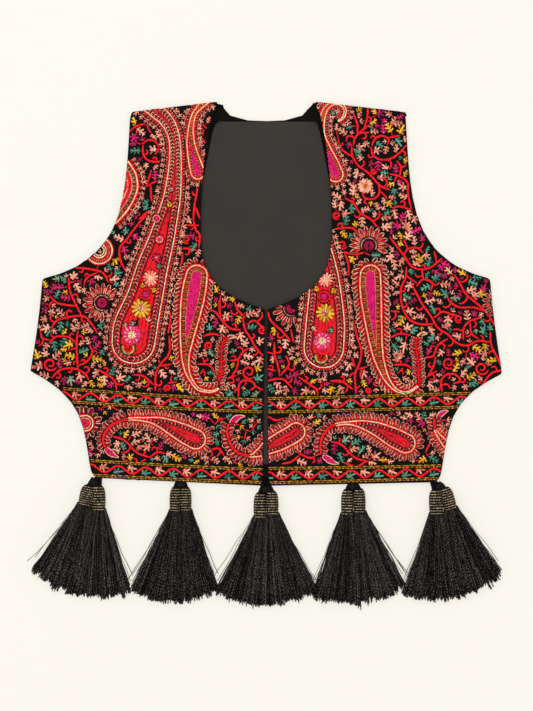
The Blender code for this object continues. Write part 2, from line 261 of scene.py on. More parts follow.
# rounds the corners by averaging the points near them
def roundCorners(bm, corners, reach):
    near = [v for v in bm.verts if any(
        (v.co - c).length < reach * (1 if v.is_boundary else clothMake["insideReach"]) for c in corners)]
    for turn in range(clothMake["rounds"]):
        if turn == clothMake["neckRounds"]:
            near = [v for v in near if abs(v.co.x) > clothMake["neckHalf"]]
        moved = []
        for v in near:
            ends = [e.other_vert(v).co for e in v.link_edges if e.is_boundary or not v.is_boundary]
            moved.append((v.co + sum(ends, Vector()) / len(ends)) / 2)
        for v, co in zip(near, moved):
            v.co = co


# a cloth is the CAD piece's upper side cut finer, lowered onto the smooth height, then given its thickness
def makeCloth(node, facts):
    field = heightField(node)
    bm = bmesh.new()
    bm.from_mesh(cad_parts[node].data)
    bmesh.ops.remove_doubles(bm, verts=bm.verts, dist=clothMake["samePoint"])
    bm.normal_update()
    bmesh.ops.delete(bm, geom=[f for f in bm.faces if f.normal.z < 0.5], context="FACES")
    rim = [v for v in bm.verts if v.is_boundary]
    bmesh.ops.remove_doubles(bm, verts=rim, dist=clothMake["onePoint"])
    corners = findCorners(bm)
    bmesh.ops.subdivide_edges(bm, edges=bm.edges, cuts=facts["fine"], use_grid_fill=True)
    roundCorners(bm, corners, facts["corner"])
    edgePieces = [[tuple(v.co.xy) for v in e.verts] for e in bm.edges if e.is_boundary]
    for v in bm.verts:
        v.co.z = float(heightAt(field, v.co.x, v.co.y))
    for f in bm.faces:
        f.smooth = True
        f.material_index = 0
    cloth = fromShape(node + "_cloth", bm, clothFinish[node])
    wall = cloth.modifiers.new("thickness", "SOLIDIFY")
    wall.thickness = facts["thick"]
    wall.offset = -1
    turned = cloth.modifiers.new("turned edge", "BEVEL")
    turned.width = facts["thick"] * clothMake["rim"]
    turned.segments = 2
    turned.limit_method = "ANGLE"
    turned.angle_limit = math.radians(clothMake["rimAngle"])
    fitPiece(cloth, [node])
    return {"field": field, "edge": edgePieces}


made = {node: makeCloth(node, facts) for node, facts in clothPieces.items()}
print("cloth laid:", ", ".join(made))

# The stitching chart: lines


# places written as x,y or as x,y,half width
def chartPoints(text):
    return np.array([[float(n) for n in point.split(",")] for point in text.split()])


# a smooth curve through rows of numbers, of which the first two are the place
def spline(rows, steps=10):
    p = np.asarray(rows, float)
    p = np.vstack([2 * p[0] - p[1], p, 2 * p[-1] - p[-2]])
    t = (np.arange(steps) / steps)[:, None]
    out = [b + t * ((c - a) / 2 + t * ((2 * a - 5 * b + 4 * c - d) / 2 + t * (3 * b - a + d - 3 * c) / 2))
           for a, b, c, d in zip(p, p[1:], p[2:], p[3:])]
    return np.vstack(out + [p[-2:-1]])


# how far along a path each of its points is
def lengths(path):
    return np.concatenate([[0], np.cumsum(np.hypot(*np.diff(path[:, :2], axis=0).T))])


# places evenly spaced along a path, and the way it goes there
def walk(path, pitch):
    run = lengths(path)
    count = max(1, int(round(run[-1] / pitch)))
    at = (np.arange(count) + 0.5) * run[-1] / count
    way = np.gradient(path[:, :2], axis=0)
    x, y, dx, dy = [np.interp(at, run, column) for column in (*path[:, :2].T, *way.T)]
    return x, y, np.arctan2(dy, dx)


# the same path with its points evenly spaced
def evenly(path, pitch=0.8):
    run = lengths(path)
    at = np.linspace(0, run[-1], max(3, int(run[-1] / pitch)))
    return np.stack([np.interp(at, run, column) for column in path.T], 1)


# the line that keeps a distance from a path, in the runs where it has room and the half width is right
def beside(path, distance, against=None, widths=(0, 99)):
    path = evenly(path)
    half = path[:, 2] if path.shape[1] > 2 else np.zeros(len(path))
    path = path[:, :2]
    way = np.gradient(path, axis=0)
    way /= np.maximum(np.hypot(*way.T), 1e-9)[:, None]
    off = path + distance * np.stack([-way[:, 1], way[:, 0]], 1)
    whole = path if against is None else against
    gap = np.sqrt(((off[:, None] - whole[None]) ** 2).sum(2)).min(1)
    fits = (gap > 0.96 * abs(distance)) | (abs(distance) < 0.05)
    good = np.flatnonzero(fits & (half >= widths[0]) & (half < widths[1]))
    runs = np.split(good, np.flatnonzero(np.diff(good) > 1) + 1)
    return [off[run] for run in runs if len(run) > 2]


# The edge of a teardrop with a bent tip, as its two sides. The spine's rows are x, y and half width, from
# the tip to the middle of the round end.
def paisleyEdge(spine):
    rows = spline(spine)
    centre, half = rows[:, :2], np.maximum(rows[:, 2], 0.1)
    way = np.gradient(centre, axis=0)
    way /= np.maximum(np.hypot(*way.T), 1e-9)[:, None]
    side = np.stack([-way[:, 1], way[:, 0]], 1)
    first, last = centre + side * half[:, None], centre - side * half[:, None]
    angle = math.atan2(side[-1, 1], side[-1, 0]) - np.radians(np.arange(10, 180, 10))
    cap = centre[-1] + half[-1] * np.stack([np.cos(angle), np.sin(angle)], 1)
    middle = len(cap) // 2
    sides = np.vstack([first, cap[:middle + 1]]), np.vstack([last, cap[:middle - 1:-1]])
    return [np.column_stack([line, np.append(half, np.full(len(line) - len(half), half[-1]))])
            for line in sides]


# a vine's curl, one turn and a third inwards
def curl(x, y, radius, turn):
    t = np.linspace(0, 1, 22)
    angle = turn + t * 2.6 * math.pi
    return np.stack([x + radius * (1 - 0.75 * t) * np.cos(angle),
                     y + radius * (1 - 0.75 * t) * np.sin(angle)], 1)


# The stitching chart: stitches

cell = 0.5          # mm, the grain of the record of what is already sewn


# the record of a front: the cells inside its edge, those already sewn, and its stitches by thread
def startCloth(node):
    low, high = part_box(node)
    left, top = toChart(low.x, high.y)
    right, bottom = toChart(high.x, low.y)
    xs, ys = np.arange(left - 2, right + 2, cell), np.arange(top - 2, bottom + 2, cell)
    inside = np.zeros((len(ys), len(xs)), bool)
    for a, b in made[node]["edge"]:
        (x0, y0), (x1, y1) = toChart(*a), toChart(*b)
        rows = (ys >= min(y0, y1)) & (ys < max(y0, y1))
        if rows.any():
            crossing = x0 + (ys[rows] - y0) * (x1 - x0) / (y1 - y0)
            inside[rows] ^= xs[None] < crossing[:, None]
    return {"node": node, "left": xs[0], "top": ys[0], "open": inside, "taken": np.zeros_like(inside),
            "threads": {}, "fresh": [], "stems": [], "xs": xs, "ys": ys}


# row and column of the cells at some places
def cellsAt(cloth, x, y):
    down, across = cloth["open"].shape
    i = np.clip(((x - cloth["left"]) / cell + 0.5).astype(int), 0, across - 1)
    j = np.clip(((y - cloth["top"]) / cell + 0.5).astype(int), 0, down - 1)
    return j, i


# whether places lie on the cloth and nothing is sewn there yet
def isBare(cloth, x, y):
    at = cellsAt(cloth, x, y)
    return cloth["open"][at] & ~cloth["taken"][at]


# marks the newest stitches, and a thread's breadth round them, as sewn
def settle(cloth, margin=0.35):
    for x, y, angle, length, width in cloth["fresh"]:
        along = np.linspace(-0.5, 0.5, 9)[None, :, None] * (length + margin)[:, None, None]
        across = np.linspace(-0.5, 0.5, 5)[None, None, :] * (width + 2 * margin)[:, None, None]
        c, s = np.cos(angle)[:, None, None], np.sin(angle)[:, None, None]
        px = x[:, None, None] + along * c - across * s
        py = y[:, None, None] + along * s + across * c
        cloth["taken"][cellsAt(cloth, px, py)] = True
    cloth["fresh"] = []


# lays stitches on a cloth, each cut short at the edge, and where there is no room for it left out
def sew(cloth, thread, x, y, angle, length, width, lift, onTop):
    rows = np.stack([np.ravel(a) for a in np.broadcast_arrays(x, y, angle, length, width, lift)])
    if not rows.size:
        return
    x, y, angle, length, width, lift = rows.astype(float)
    at = np.linspace(-0.5, 0.5, 7)
    px = x[:, None] + at * (length * np.cos(angle))[:, None]
    py = y[:, None] + at * (length * np.sin(angle))[:, None]
    free = cloth["open"][cellsAt(cloth, px, py)] if onTop else isBare(cloth, px, py)
    first, last = at[np.argmax(free, 1)], at[6 - np.argmax(free[:, ::-1], 1)]
    keep = free.sum(1) >= 4
    middle = (first + last) / 2 * length
    x, y = x + middle * np.cos(angle), y + middle * np.sin(angle)
    length = length * np.maximum(last - first, 0.1)
    rows = np.stack([x, y, angle, length, width, lift])[:, keep]
    if rows.size:
        cloth["threads"].setdefault(thread, []).append(rows)
        cloth["fresh"].append(rows[:5])


# Stitches of each motif at size 1: along, sideways, turn in degrees, length, width, thread, raised.
# Along is the way the motif grows or the path runs. A stitch starts at its place.
def ring(count, radius, turn, length, width, thread, first=0.0, raised=0.0):
    angles = [2 * math.pi * k / count + math.radians(first) for k in range(count)]
    return [(radius * math.cos(a), radius * math.sin(a), math.degrees(a) + turn, length, width, thread,
             raised) for a in angles]


# a leaf's lobes, in pairs but for one that points straight on: along, turn, length, width
def lobes(rows, sides=(1, -1)):
    return [(at, 0, side * turn, length, width, 0, 0.05) for at, turn, length, width in rows
            for side in (sides if turn else (1,))]


motifs = {
    "row": [(-0.5, 0, 0, 1, 0.5, 0, 0)],
    "fine": [(-0.5, 0, 0, 1, 0.34, 0, 0)],
    "knot": [(-0.5, 0, 0, 1, 0.95, 0, 0)],
    "rung": [(0, 0, 90, 1, 0.34, 0, 0)],
    "barb": [(0, 0, 90, 1, 0.42, 0, 0.1)],
    "line": [(-0.5, 0, 0, 1, 0.38, 0, 0.1)],
    "vee": [(-0.3, 0.02, 42, 0.6, 0.17, 0, 0.2), (-0.3, -0.02, -42, 0.6, 0.17, 0, 0.2)],
    "loop": [(-0.22, 0.03, 96, 0.72, 0.11, 0, 0.15), (0.22, 0.03, 84, 0.72, 0.11, 0, 0.15),
             (-0.24, 0.72, 42, 0.36, 0.11, 0, 0.15), (0.24, 0.72, 138, 0.36, 0.11, 0, 0.15),
             (-0.08, 0.05, 91, 0.68, 0.13, 1, 0), (0.08, 0.05, 89, 0.72, 0.13, 1, 0)],
    "floret": [(0, 0, 90, 1, 0.2, 0, 0.1), (0, 0.34, 46, 0.6, 0.19, 0, 0.05),
               (0, 0.34, 134, 0.6, 0.19, 0, 0.05), (0, 0.12, 14, 0.46, 0.17, 0, 0.05),
               (0, 0.12, 166, 0.46, 0.17, 0, 0.05),
               (-0.4, -0.15, 82, 0.5, 0.14, 1, 0), (0.4, -0.15, 98, 0.5, 0.14, 1, 0)],
    "petal": [(0, 0.05, 14, 0.64, 0.085, 0, 0.15), (0, -0.05, -14, 0.64, 0.085, 0, 0.15),
              (0.6, 0.19, -22, 0.42, 0.085, 0, 0.15), (0.6, -0.19, 22, 0.42, 0.085, 0, 0.15),
              (0.05, 0.02, 3, 0.8, 0.09, 1, 0), (0.2, -0.05, -5, 0.5, 0.08, 2, 0)],
    "maple": lobes([(0, 0, 1, 0.19), (0.32, 50, 0.5, 0.18), (0.24, 98, 0.38, 0.17)])
        + [(0, 0, 0, 0.4, 0.08, 1, 0.2)],
    "oak": lobes([(0, 0, 1, 0.18), (0.13, 64, 0.34, 0.15), (0.4, 55, 0.4, 0.15), (0.68, 42, 0.3, 0.13)])
        + [(-0.05, 0, 0, 0.5, 0.07, 1, 0.2)],
    "wing": lobes([(0.12, 66, 0.36, 0.15), (0.38, 56, 0.44, 0.16), (0.66, 42, 0.3, 0.14)], (1,))
        + lobes([(0, 0, 1, 0.18), (0.3, 52, 0.34, 0.14)], (1,)) + [(0.34, 0, -48, 0.32, 0.14, 0, 0.05)],
    "bud": lobes([(0, 0, 1, 0.24), (0.1, 46, 0.72, 0.22)]),
    "daisy": ring(12, 0.14, 0, 0.37, 0.15, 0, raised=0.1) + ring(12, 0.1, 0, 0.33, 0.13, 1, 15)
        + ring(8, 0.02, 0, 0.22, 0.07, 2, 10, 0.4),
    "rose": ring(12, 0.42, 90, 0.26, 0.14, 0, raised=0.1) + ring(9, 0.29, 90, 0.24, 0.14, 1)
        + ring(6, 0.02, 0, 0.24, 0.2, 2, raised=0.2),
    "bloom": ring(7, 0.1, 0, 0.4, 0.24, 0) + [(-0.12, 0, 0, 0.24, 0.26, 1, 0.3)],
}
motifs = {name: np.array(rows, float) for name, rows in motifs.items()}


# sews a motif at each place, its threads named in the order of its parts
def sewMotif(cloth, motif, x, y, angle, size, threads, onTop=False, room=0.0, mirror=1):
    rows = motifs[motif] * (1, mirror, mirror, 1, 1, 1, 1)
    x, y, angle, size = [np.ravel(a).astype(float)[:, None]
                         for a in np.broadcast_arrays(x, y, angle, size)]
    turn, length = np.radians(rows[:, 2]), rows[:, 3] * size
    along = rows[:, 0] * size + length / 2 * np.cos(turn)
    side = rows[:, 1] * size + length / 2 * np.sin(turn)
    px = x + np.cos(angle) * along - np.sin(angle) * side
    py = y + np.sin(angle) * along + np.cos(angle) * side
    way = angle + turn
    if room:
        free = np.ones_like(px)
        for at in (-0.5, 0, 0.5):
            tx, ty = px + at * length * np.cos(way), py + at * length * np.sin(way)
            free += isBare(cloth, tx, ty)
        keep = (free - 1).mean(1) / 3 >= room
        px, py, way, length, size = px[keep], py[keep], way[keep], length[keep], size[keep]
        if not len(px):
            return False
    for part, thread in enumerate(threads):
        these = rows[:, 5] == part
        sew(cloth, thread, px[:, these], py[:, these], way[:, these], length[:, these],
            rows[these, 4] * size, rows[these, 6], onTop)
    return True


# A course follows a path at a distance: its motif, the distance, the motif's size, its pitch, its lean in
# degrees, its threads, and the half widths of teardrop it is for. Threads joined by / are one motif's, and
# a space lists those that take turns. Fringes are a little uneven, in size and in lean.
uneven = {"loop": (0.1, 0.12), "floret": (0.12, 0.2), "barb": (0.08, 0.1)}


# sews one course along a path, on its other side where mirror is -1
def sewCourse(cloth, path, course, mirror=1, against=None):
    motif, at, size, pitch, lean, threads, widths = (*course, (0, 99))[:7]
    if at < 0 and path.shape[1] > 2:
        widths = (max(widths[0], -0.9 * at), widths[1])
    for run in beside(path, at * mirror, against, widths):
        x, y, angle = walk(run, pitch)
        spread, swing = uneven.get(motif, (0, 0))
        sizes = size * (1 + rng.normal(0, spread, len(x)))
        angle = angle + mirror * math.radians(lean) + rng.normal(0, swing, len(x))
        turns = threads.split()
        for k, names in enumerate(turns):
            part = slice(k, None, len(turns))
            sewMotif(cloth, motif, x[part], y[part], angle[part], sizes[part], names.split("/"),
                     mirror=mirror)


# one row of stitches along part of a circle
def sewRing(cloth, x, y, radius, angles, motif, size, thread):
    path = np.stack([x + radius * np.cos(angles), y + radius * np.sin(angles)], 1)
    sewCourse(cloth, path, (motif, 0, size, size * 0.78, 0, thread))


# a teardrop, sewn in courses that follow both sides of its edge
def sewPaisley(cloth, plan, text):
    right, left = paisleyEdge(chartPoints(text))
    whole = np.vstack([evenly(right), evenly(left)])[:, :2]
    for course in paisleyPlans[plan]:
        sewCourse(cloth, right, course, 1, whole)
        sewCourse(cloth, left, course, -1, whole)
    settle(cloth)


# rows of stitches that fill a teardrop, between two distances from its edge
def fieldRows(first, last, pitch, threads, widths=(0, 99)):
    names = threads.split()
    count = int((last - first) / pitch) + 1
    return [("row", -(first + k * pitch), 2.9, 2.2, 0, names[k % len(names)], widths)
            for k in range(count)]


# half widths, in mm, for which a course is meant
narrow, wide, thin, full = (0, 8.5), (8.5, 99), (0, 0.95), (0.95, 99)
fringe = ("floret", 4.4, 5.9, 5.5, 0, "salmon/crimson")
paisleyPlans = {
    "shoulder": [
        ("line", 0, 2.9, 2.0, 0, "cream"), ("row", 1.2, 2.5, 1.9, 0, "scarlet"),
        ("rung", 1.8, 2.2, 1.5, 16, "crimson salmon scarlet salmon"),
        ("line", -1.15, 2.5, 1.9, 0, "crimson", narrow),
        ("vee", -2.9, 4.6, 1.75, 0, "peach crimson", narrow),
        ("row", -5.1, 2.5, 1.9, 0, "crimson", narrow),
        ("line", -1.9, 2.5, 1.9, 0, "crimson", wide), ("vee", -4.2, 5.4, 1.9, 0, "salmon crimson", wide),
        ("line", -6.6, 2.5, 1.9, 0, "scarlet", wide)]
        + fieldRows(5.9, 8.5, 1.15, "crimson scarlet maroon", narrow)
        + fieldRows(8.6, 20, 1.15, "crimson scarlet scarlet", wide),
    "fringe": [fringe],
    "strap": [
        ("line", 0, 2.9, 2.0, 0, "cream"), ("row", 1.1, 2.5, 1.9, 0, "scarlet"),
        ("rung", 1.7, 2.1, 1.4, 14, "crimson salmon scarlet salmon"),
        ("floret", 3.8, 5.2, 4.8, 0, "salmon/crimson"),
        ("line", -1.05, 2.5, 1.9, 0, "scarlet"), ("rung", -1.6, 1.8, 0.95, 180, "orange crimson mustard")]
        + fieldRows(3.8, 10, 1.15, "magenta"),
    "vertical": [
        ("line", 0, 2.9, 2.0, 0, "cream"), ("row", 1.1, 2.5, 1.9, 0, "scarlet"),
        ("rung", 1.8, 2.2, 1.4, 20, "scarlet crimson"),
        ("loop", 2.9, 6.4, 4.4, 32, "peach/crimson peach/crimson peach/scarlet"),
        ("line", -1.05, 2.5, 1.9, 0, "scarlet"),
        ("rung", -1.6, 3.4, 1.1, 184, "orange maroon gold crimson"),
        ("line", -5.4, 2.5, 1.9, 0, "orange")] + fieldRows(6.4, 14, 1.15, "magenta"),
    "band": [
        ("line", 0, 2.9, 2.0, 0, "cream", full), ("row", 0, 2.9, 2.0, 0, "scarlet", thin),
        ("row", 1.1, 2.5, 1.9, 0, "scarlet", full),
        ("rung", 1.8, 3.2, 1.35, 16, "crimson salmon scarlet salmon", full),
        ("loop", 3.6, 6.0, 4.1, 12, "salmon/crimson", full),
        ("loop", 1.0, 6.6, 4.0, 14, "salmon/crimson", thin),
        ("line", -1.05, 2.5, 1.9, 0, "scarlet"), ("rung", -1.7, 2.4, 1.2, 186, "salmon maroon crimson"),
        ("line", -4.7, 2.5, 1.9, 0, "crimson")] + fieldRows(5.7, 9.9, 1.15, "crimson scarlet"),
    "sun": [
        ("row", 0, 2.6, 1.9, 0, "cream"), ("row", 1.2, 2.5, 1.9, 0, "scarlet"),
        ("loop", 2.0, 7.8, 4.0, 0, "salmon/crimson salmon/maroon"), ("row", -1.2, 2.5, 1.9, 0, "crimson"),
        ("row", -2.5, 2.5, 1.9, 0, "salmon")] + fieldRows(3.7, 10, 1.15, "crimson scarlet magenta"),
    "armhole": [
        ("row", 0, 2.9, 2.0, 0, "cream"), ("row", 1.25, 2.5, 1.9, 0, "scarlet"),
        ("rung", 1.9, 2.6, 1.5, 14, "crimson scarlet salmon maroon"),
        ("floret", 4.0, 5.2, 4.9, 0, "salmon/crimson"),
        ("row", -1.25, 2.5, 1.9, 0, "scarlet"), ("rung", -1.9, 3.0, 1.05, 180, "orange green gold maroon"),
        ("row", -5.4, 2.5, 1.9, 0, "salmon")] + fieldRows(6.5, 20, 1.15, "scarlet crimson scarlet salmon"),
    "leaf": [("fine", 0, 3.0, 2.0, 0, "peach")] + fieldRows(0.9, 5, 1.0, "magenta"),
    "leafSalmon": [("fine", 0, 3.0, 2.0, 0, "peach")] + fieldRows(0.9, 5, 1.0, "salmon"),
    "plume": [("row", 0, 2.6, 1.9, 0, "scarlet"), ("barb", 0.4, 3.6, 2.6, -38, "scarlet crimson"),
              ("loop", 2.6, 4.6, 3.6, -30, "peach/crimson")],
}

# The stitching chart: where everything goes

rightShoulder = ("145,101,8 155,110,7.2 167,121.5,6.3 173.4,134.5,5.5 175.6,148,5.3 175.6,163,5.9 "
                 "174.5,180,6.9 "
                 "172.5,197,8.2 169.5,211,9.3 161.5,241,12.4 153,267.5,15 144.8,299,17.6 "
                 "136.4,326,21.4 134,342,21.2")
leftShoulder = "321,228,1 321,236,5 322,250,9 324,275,13.5 325,300,16.5 325,325,19 323.5,348,19.5"
charts = {
    "right_front": {
        "goldLines": ["64,388.5 163,395.3 262,400", "73,401.8 167,407.6 262,411.7",
                      "91.3,460.3 176,465.3 262,469.3", "93,474.8 177,479 262,482"],
        "vineStart": 91.0, "vinePeriod": 27.65,
        "paisleys": [
            ("shoulder", rightShoulder),
            ("vertical", "219,388.5,.5 211,391.3,.7 199,389,1 191.5,380,1.4 187.6,371,2.1 "
             "185.8,360,3.3 186.2,348,4.9 "
             "188.5,328,8 192,305,10.8 194.8,288,11.3 197,276,10.4"),
            ("strap", "209,100,2.6 200,107.5,2.2 194,116,1.9 191.3,128,2.3 190.8,141,3.5 193,155,5 "
             "196,166,6.2 "
             "198,173,6.6"),
            ("fringe", rightShoulder),
            ("band", "105.2,447,.3 103.7,438,.5 108,429,.7 118,421.7,.8 130,418.8,1 147,419.3,2 "
             "160,421.8,4.5 "
             "172,427,7 185,433.5,9 196,439,9.5"),
            ("sun", "60,426,2 70,425,5 80,423.5,7.2 86,423,7.5"),
            ("band", "228.4,423.7,.3 227.4,432,.4 230.2,442.6,.6 237.5,452,.8 250,455.5,1 260,452,4 "
             "268,447,6.7 "
             "280,441,8.5")],
        "tails": ["216,389 221.8,370.6 221.4,356.8 222.7,343.8 226.5,338"],
        "rosettes": [(102.7, 303, 6.5, 20, -25, -270)],
        "domes": [("dome", 99.7, 251, 0, 360), ("moon", 128.8, 348, -25, 205)],
        "scallops": ["115.7,224 124,215.5 131.6,204.8 136.6,194 138,185.7 136,174 128.4,161.7"],
        "flowers": [
            ("rose", 157, 219, 8, "salmon scarlet magenta"), ("bloom", 157, 258, 9, "magenta mustard"),
            ("daisy", 151.2, 278.5, 16, "salmon scarlet cream"),
            ("rose", 146.5, 294.5, 12, "scarlet crimson magenta"),
            ("daisy", 141.7, 308.5, 20, "mustard gold salmon"),
            ("daisy", 132.6, 335, 21, "magenta salmon cream"),
            ("bloom", 143.5, 286, 6, "mustard scarlet"), ("bloom", 154, 290.5, 6, "mustard scarlet"),
            ("maple", 134, 321, 8, "sage green"), ("rose", 160, 240, 9, "scarlet peach magenta"),
            ("maple", 128, 324, 7, "salmon peach"), ("bud", 148, 322, 6, "peach"),
            ("bud", 157, 268, 6, "sage"), ("maple", 152, 297, 7, "salmon peach"),
            ("bloom", 171, 190, 6, "salmon green"),
            ("bloom", 170, 205, 6, "mustard scarlet")],
        "bigLeaves": [("leaf", "118.9,457,.3 115,455.5,1.6 111,452.5,2.9 107.5,449.5,2.4"),
                      ("leaf", "244.9,416,.3 240,416.5,1.7 236,418.5,2.9 232.5,421.5,2.4"),
                      ("leafSalmon", "237,337.4,.3 233,336.8,1.5 230,337,1.8 228,338,1.2")],
        "vines": [
            "98,333 90.6,322 82,316 59,320 52,328.5", "82,315 77,305.5 71,292 68.8,277.6",
            "77,306 70,305.5 58,303 50.6,296", "78.5,368.5 77.3,345.5 78.5,331",
            "77,343 68.8,337 56.7,337 50,343",
            "78.5,366 88,361 93,352.7 90.6,345.5", "52,378 61.5,369.7 74.8,368.5 84.5,373 89.4,379.4",
            "41,332 43,338 50.6,340.5", "99,369.7 110,376 116,382 117,390",
            "130,132 136.5,127 145,125 153,128", "204,111 201,117 202,124 206.5,129",
            "204,130 202.5,137 205,144", "151.5,171 150,177 146.5,187",
            "142.6,145 148,141 155.6,142 159.4,149 155.6,155", "198,186 196.5,196 194.5,207 193.5,221",
            "193.5,220 196,230 200,236 199,248", "194.5,206 197.5,212 200,219",
            "143.4,146 143.4,153.5 147,160 155.6,162.7 164,161",
            "147,187 152,184 160,180", "151,186 151.8,199.5 153,208.6 149,213.6 140.6,222 132,233 "
            "127,240 "
            "120.3,248.5 121,260.6 127,272.7", "139.5,220 147,213 153,208.6",
            "76,268 88,269 102.7,272.7 108.8,282.4", "84.5,284.8 88,277.6 98,272.7",
            "183,252.4 181.8,263.3 175.8,278", "168.5,333.6 171,319 170.3,310.6",
            "169.7,336 169.7,353 161,364 156.4,373.6 155.8,390.6", "172,364 161,366",
            "133,374.8 144,376 154,384.5", "157.6,353 160,362.7", "177,382 168.5,383",
            "185.5,225.8 198.8,225.8",
            "179.4,250 186.7,248.8 197.6,251", "206,310.5 213.5,311 219,316 224.6,323.5 232,329 241,330",
            "220.9,295.7 219.5,306 220.9,317", "243,318 245,329 250.5,338 256,347.5 263,356",
            "234.8,302 237.6,309.6 245,318", "246.8,324.4 254,320.7 259.8,325 264.8,328",
            "229,360.5 237.6,359.5 243,352 248.7,348.4", "238.5,360.5 236.6,368.8 232,376",
            "226.5,379 236.6,375.3",
            "238.5,397.5 239.4,384.5 245,380 252.4,381.7 255,386.4 250.5,390",
            "197.8,364 209,365 216.3,373.4",
            "200.5,374 204,369", "203,357 205,364", "199.6,338 209,334.6 217,334.6 222.8,340",
            "112,436 125,440 137,452 150,457", "150,457 158,452 165,453", "205,452 218,448 224,455",
            "215,424 222,418 222,430", "125,460 137,463 146,459"],
        "curls": [(51, 364, 7, 0.5), (167.9, 388, 3.5, 2), (186.7, 240, 4, 1), (262, 330, 4, 0),
        (249, 372, 7, 1),
                  (209, 345.7, 4, 2)],
    },
    "left_front": {
        "goldLines": ["267.7,398.4 369,396 470,393", "267.7,411.8 363,409.6 457.9,406.8",
                      "268.6,468 355,467 440.9,465.4", "269.5,482.3 354,480.5 438,478"],
        "vineStart": 268.0, "vinePeriod": 27.6,
        "paisleys": [
            ("shoulder", leftShoulder),
            ("fringe", leftShoulder),
            ("vertical", "417.5,386,.5 407,392.3,.7 396,390,1.1 387.5,381,2.2 381.5,368,3.6 "
             "377,352.5,5.2 "
             "373.6,327.5,7.6 371,302,9.8 370,285,10.3 370,275.5,9.9"),
            ("strap", "338,122,.5 343,118,.8 345,111,1 341,105,1.2 333,104,1.5 326,109,2 322,120,2.5 "
             "321,135,3.5 "
             "325,150,5.5 331,164,6.8 335.5,175,7.2"),
            ("band", "321,454,.3 320.3,446,.4 322,437,.6 328,428.5,.8 337,424,1 350,422.8,1.5 "
             "363,424.5,4 "
             "377,429,6.5 392,436.5,9 405,443,9.5"),
            ("band", "260,452,4 268,447,6.7 280,441,8.5 292,434.5,8.8 296,431.5,8.8"),
            ("band", "433.7,418.5,.4 435,430,1 444.3,442.4,3 455,450,6")],
        "tails": ["418,388 418,364.5 415.4,347.8 416,337.7"],
        "rosettes": [(368.5, 246, 6.5, 20, 20, -200), (290.8, 309, 6, 19, 190, 70),
        (497, 303, 5, 16, 120, 240)],
        "domes": [("moon", 321, 357, -25, 205)],
        "scallops": [],
        "flowers": [
            ("daisy", 325.5, 280, 15, "salmon scarlet cream"),
            ("rose", 324, 297, 12, "scarlet crimson magenta"),
            ("bloom", 316.5, 289, 6, "mustard scarlet"), ("bloom", 333.5, 291, 6, "mustard scarlet"),
            ("daisy", 325, 313, 19, "mustard gold salmon"),
            ("daisy", 322, 341, 20, "magenta salmon cream"),
            ("maple", 331, 328, 7, "sage green"), ("maple", 312, 326, 7, "salmon peach"),
            ("rose", 322, 258, 9, "salmon scarlet magenta"),
            ("daisy", 365, 186.5, 16, "salmon peach orange"),
            ("maple", 334, 116, 6, "sage green")],
        "bigLeaves": [("leaf", "338.5,463,.3 334,462.5,1.6 329.5,460,2.9 325,456.8,2.4"),
                      ("leaf", "447.6,410.6,.3 444.5,411.5,1.5 441,413.5,2.4 438,416,2"),
                      ("leafSalmon", "426.5,333.5,.3 423,333.6,1.5 420,334.8,1.8 418,336.5,1.2")],
        "vines": [
            "351.4,146.4 352,156.4 358,166.3 368,173.8 379.6,186 389.6,190.4",
            "353,146.4 354.7,139 359.7,133 "
            "368.8,125.7", "357,134.8 357,125 353,114", "363.8,129 367,118 367.6,107.5",
            "359,134 368.8,133",
            "338,139.8 339.8,148 346.4,154 352,157",
            "371.3,146.4 374.6,139.8 381.3,136.5 388,139.8 387,145.6",
            "370.5,148 373,156.4 381.3,160.5 391,159 399.5,153 406,145.6",
            "411,210 407.8,195.4 407,183 399.5,177 389.6,174.6", "399.5,176 401,168.8 406,165.5",
            "344.8,198.7 353,203.6 359.7,213.6 370.5,220 376.3,227",
            "378,183 378.8,193.7 373,199.5 364.7,198.7 361.4,193", "392,208.6 399.5,207 411,210",
            "334,229.4 351.4,228.5 359,236", "389,237 395.8,246 403.7,256 410.4,266 419.3,269.6 "
            "430.4,267.4 441.6,258.5",
            "403.7,255 408,249 417,248.4 422.6,253",
            "406,267.4 404.8,278.6 400.3,289.7 401.4,305.4 408,318.8 "
            "419.3,324.3 432.7,324.3", "389,311 399,312", "421.5,270.8 422.6,278.6",
            "416,286.4 422.6,279.7 431.6,283 430.4,290.8",
            "411.5,285.3 416,294 421.5,304 430.4,316.5 437,327.7 "
            "447,334.4 456,343 467,345.5 477,341 488.5,342",
            "433.8,317.6 441.6,312 450.5,314.3 458.3,316.5",
            "454,275 459.5,284 466,295 479.6,306.5 488.5,316.5 494,325.4",
            "446,296.4 450.5,303 459.5,307.6 "
            "473,307.6 483,311", "462.8,340 462.8,328.8 469.5,321 480.7,317.6",
            "469.5,323 470.6,333 477.3,338.8",
            "503,370 497.4,359 490.7,345.5 489.6,332", "481.8,384.6 490.7,373.4 502,370",
            "423.8,357.8 432.7,355.6 437,345.5 447,338.8", "435,356.7 432.7,366.7 428,374.6",
            "426,376.8 436,371",
            "441.6,393.5 440.5,381 446,374.6 455,374.6 459.5,381 452.8,383.5",
            "390,337.7 399,333.8 410.4,335.5",
            "392.5,364.5 407,365.6 417,374.6", "397,373.4 402.5,368", "363.5,253 354.6,254.6 340,251.8",
            "344.5,254 348,264 348.4,276.3", "352.3,311 354,325.4 356.8,336.6 361,351 359,363.4 "
            "354.6,374.6 "
            "355.7,393.5", "350,353 354.6,366.7", "366.8,366.7 358,369", "330,381 341,381 352.3,389",
            "268,312 271,321 281.8,331 290.3,341", "293.4,342.4 290.8,329.7",
            "274.5,342.4 274.5,354 277.6,364.5 "
            "279.7,376", "267,352 274,354", "267,368.7 275.5,370.8", "286,356 288.7,364.5 280.8,375",
            "267,381 275.5,379 284,379.7 291.8,387.6", "298.7,377 310,384.5 316.6,389.7 317.6,396",
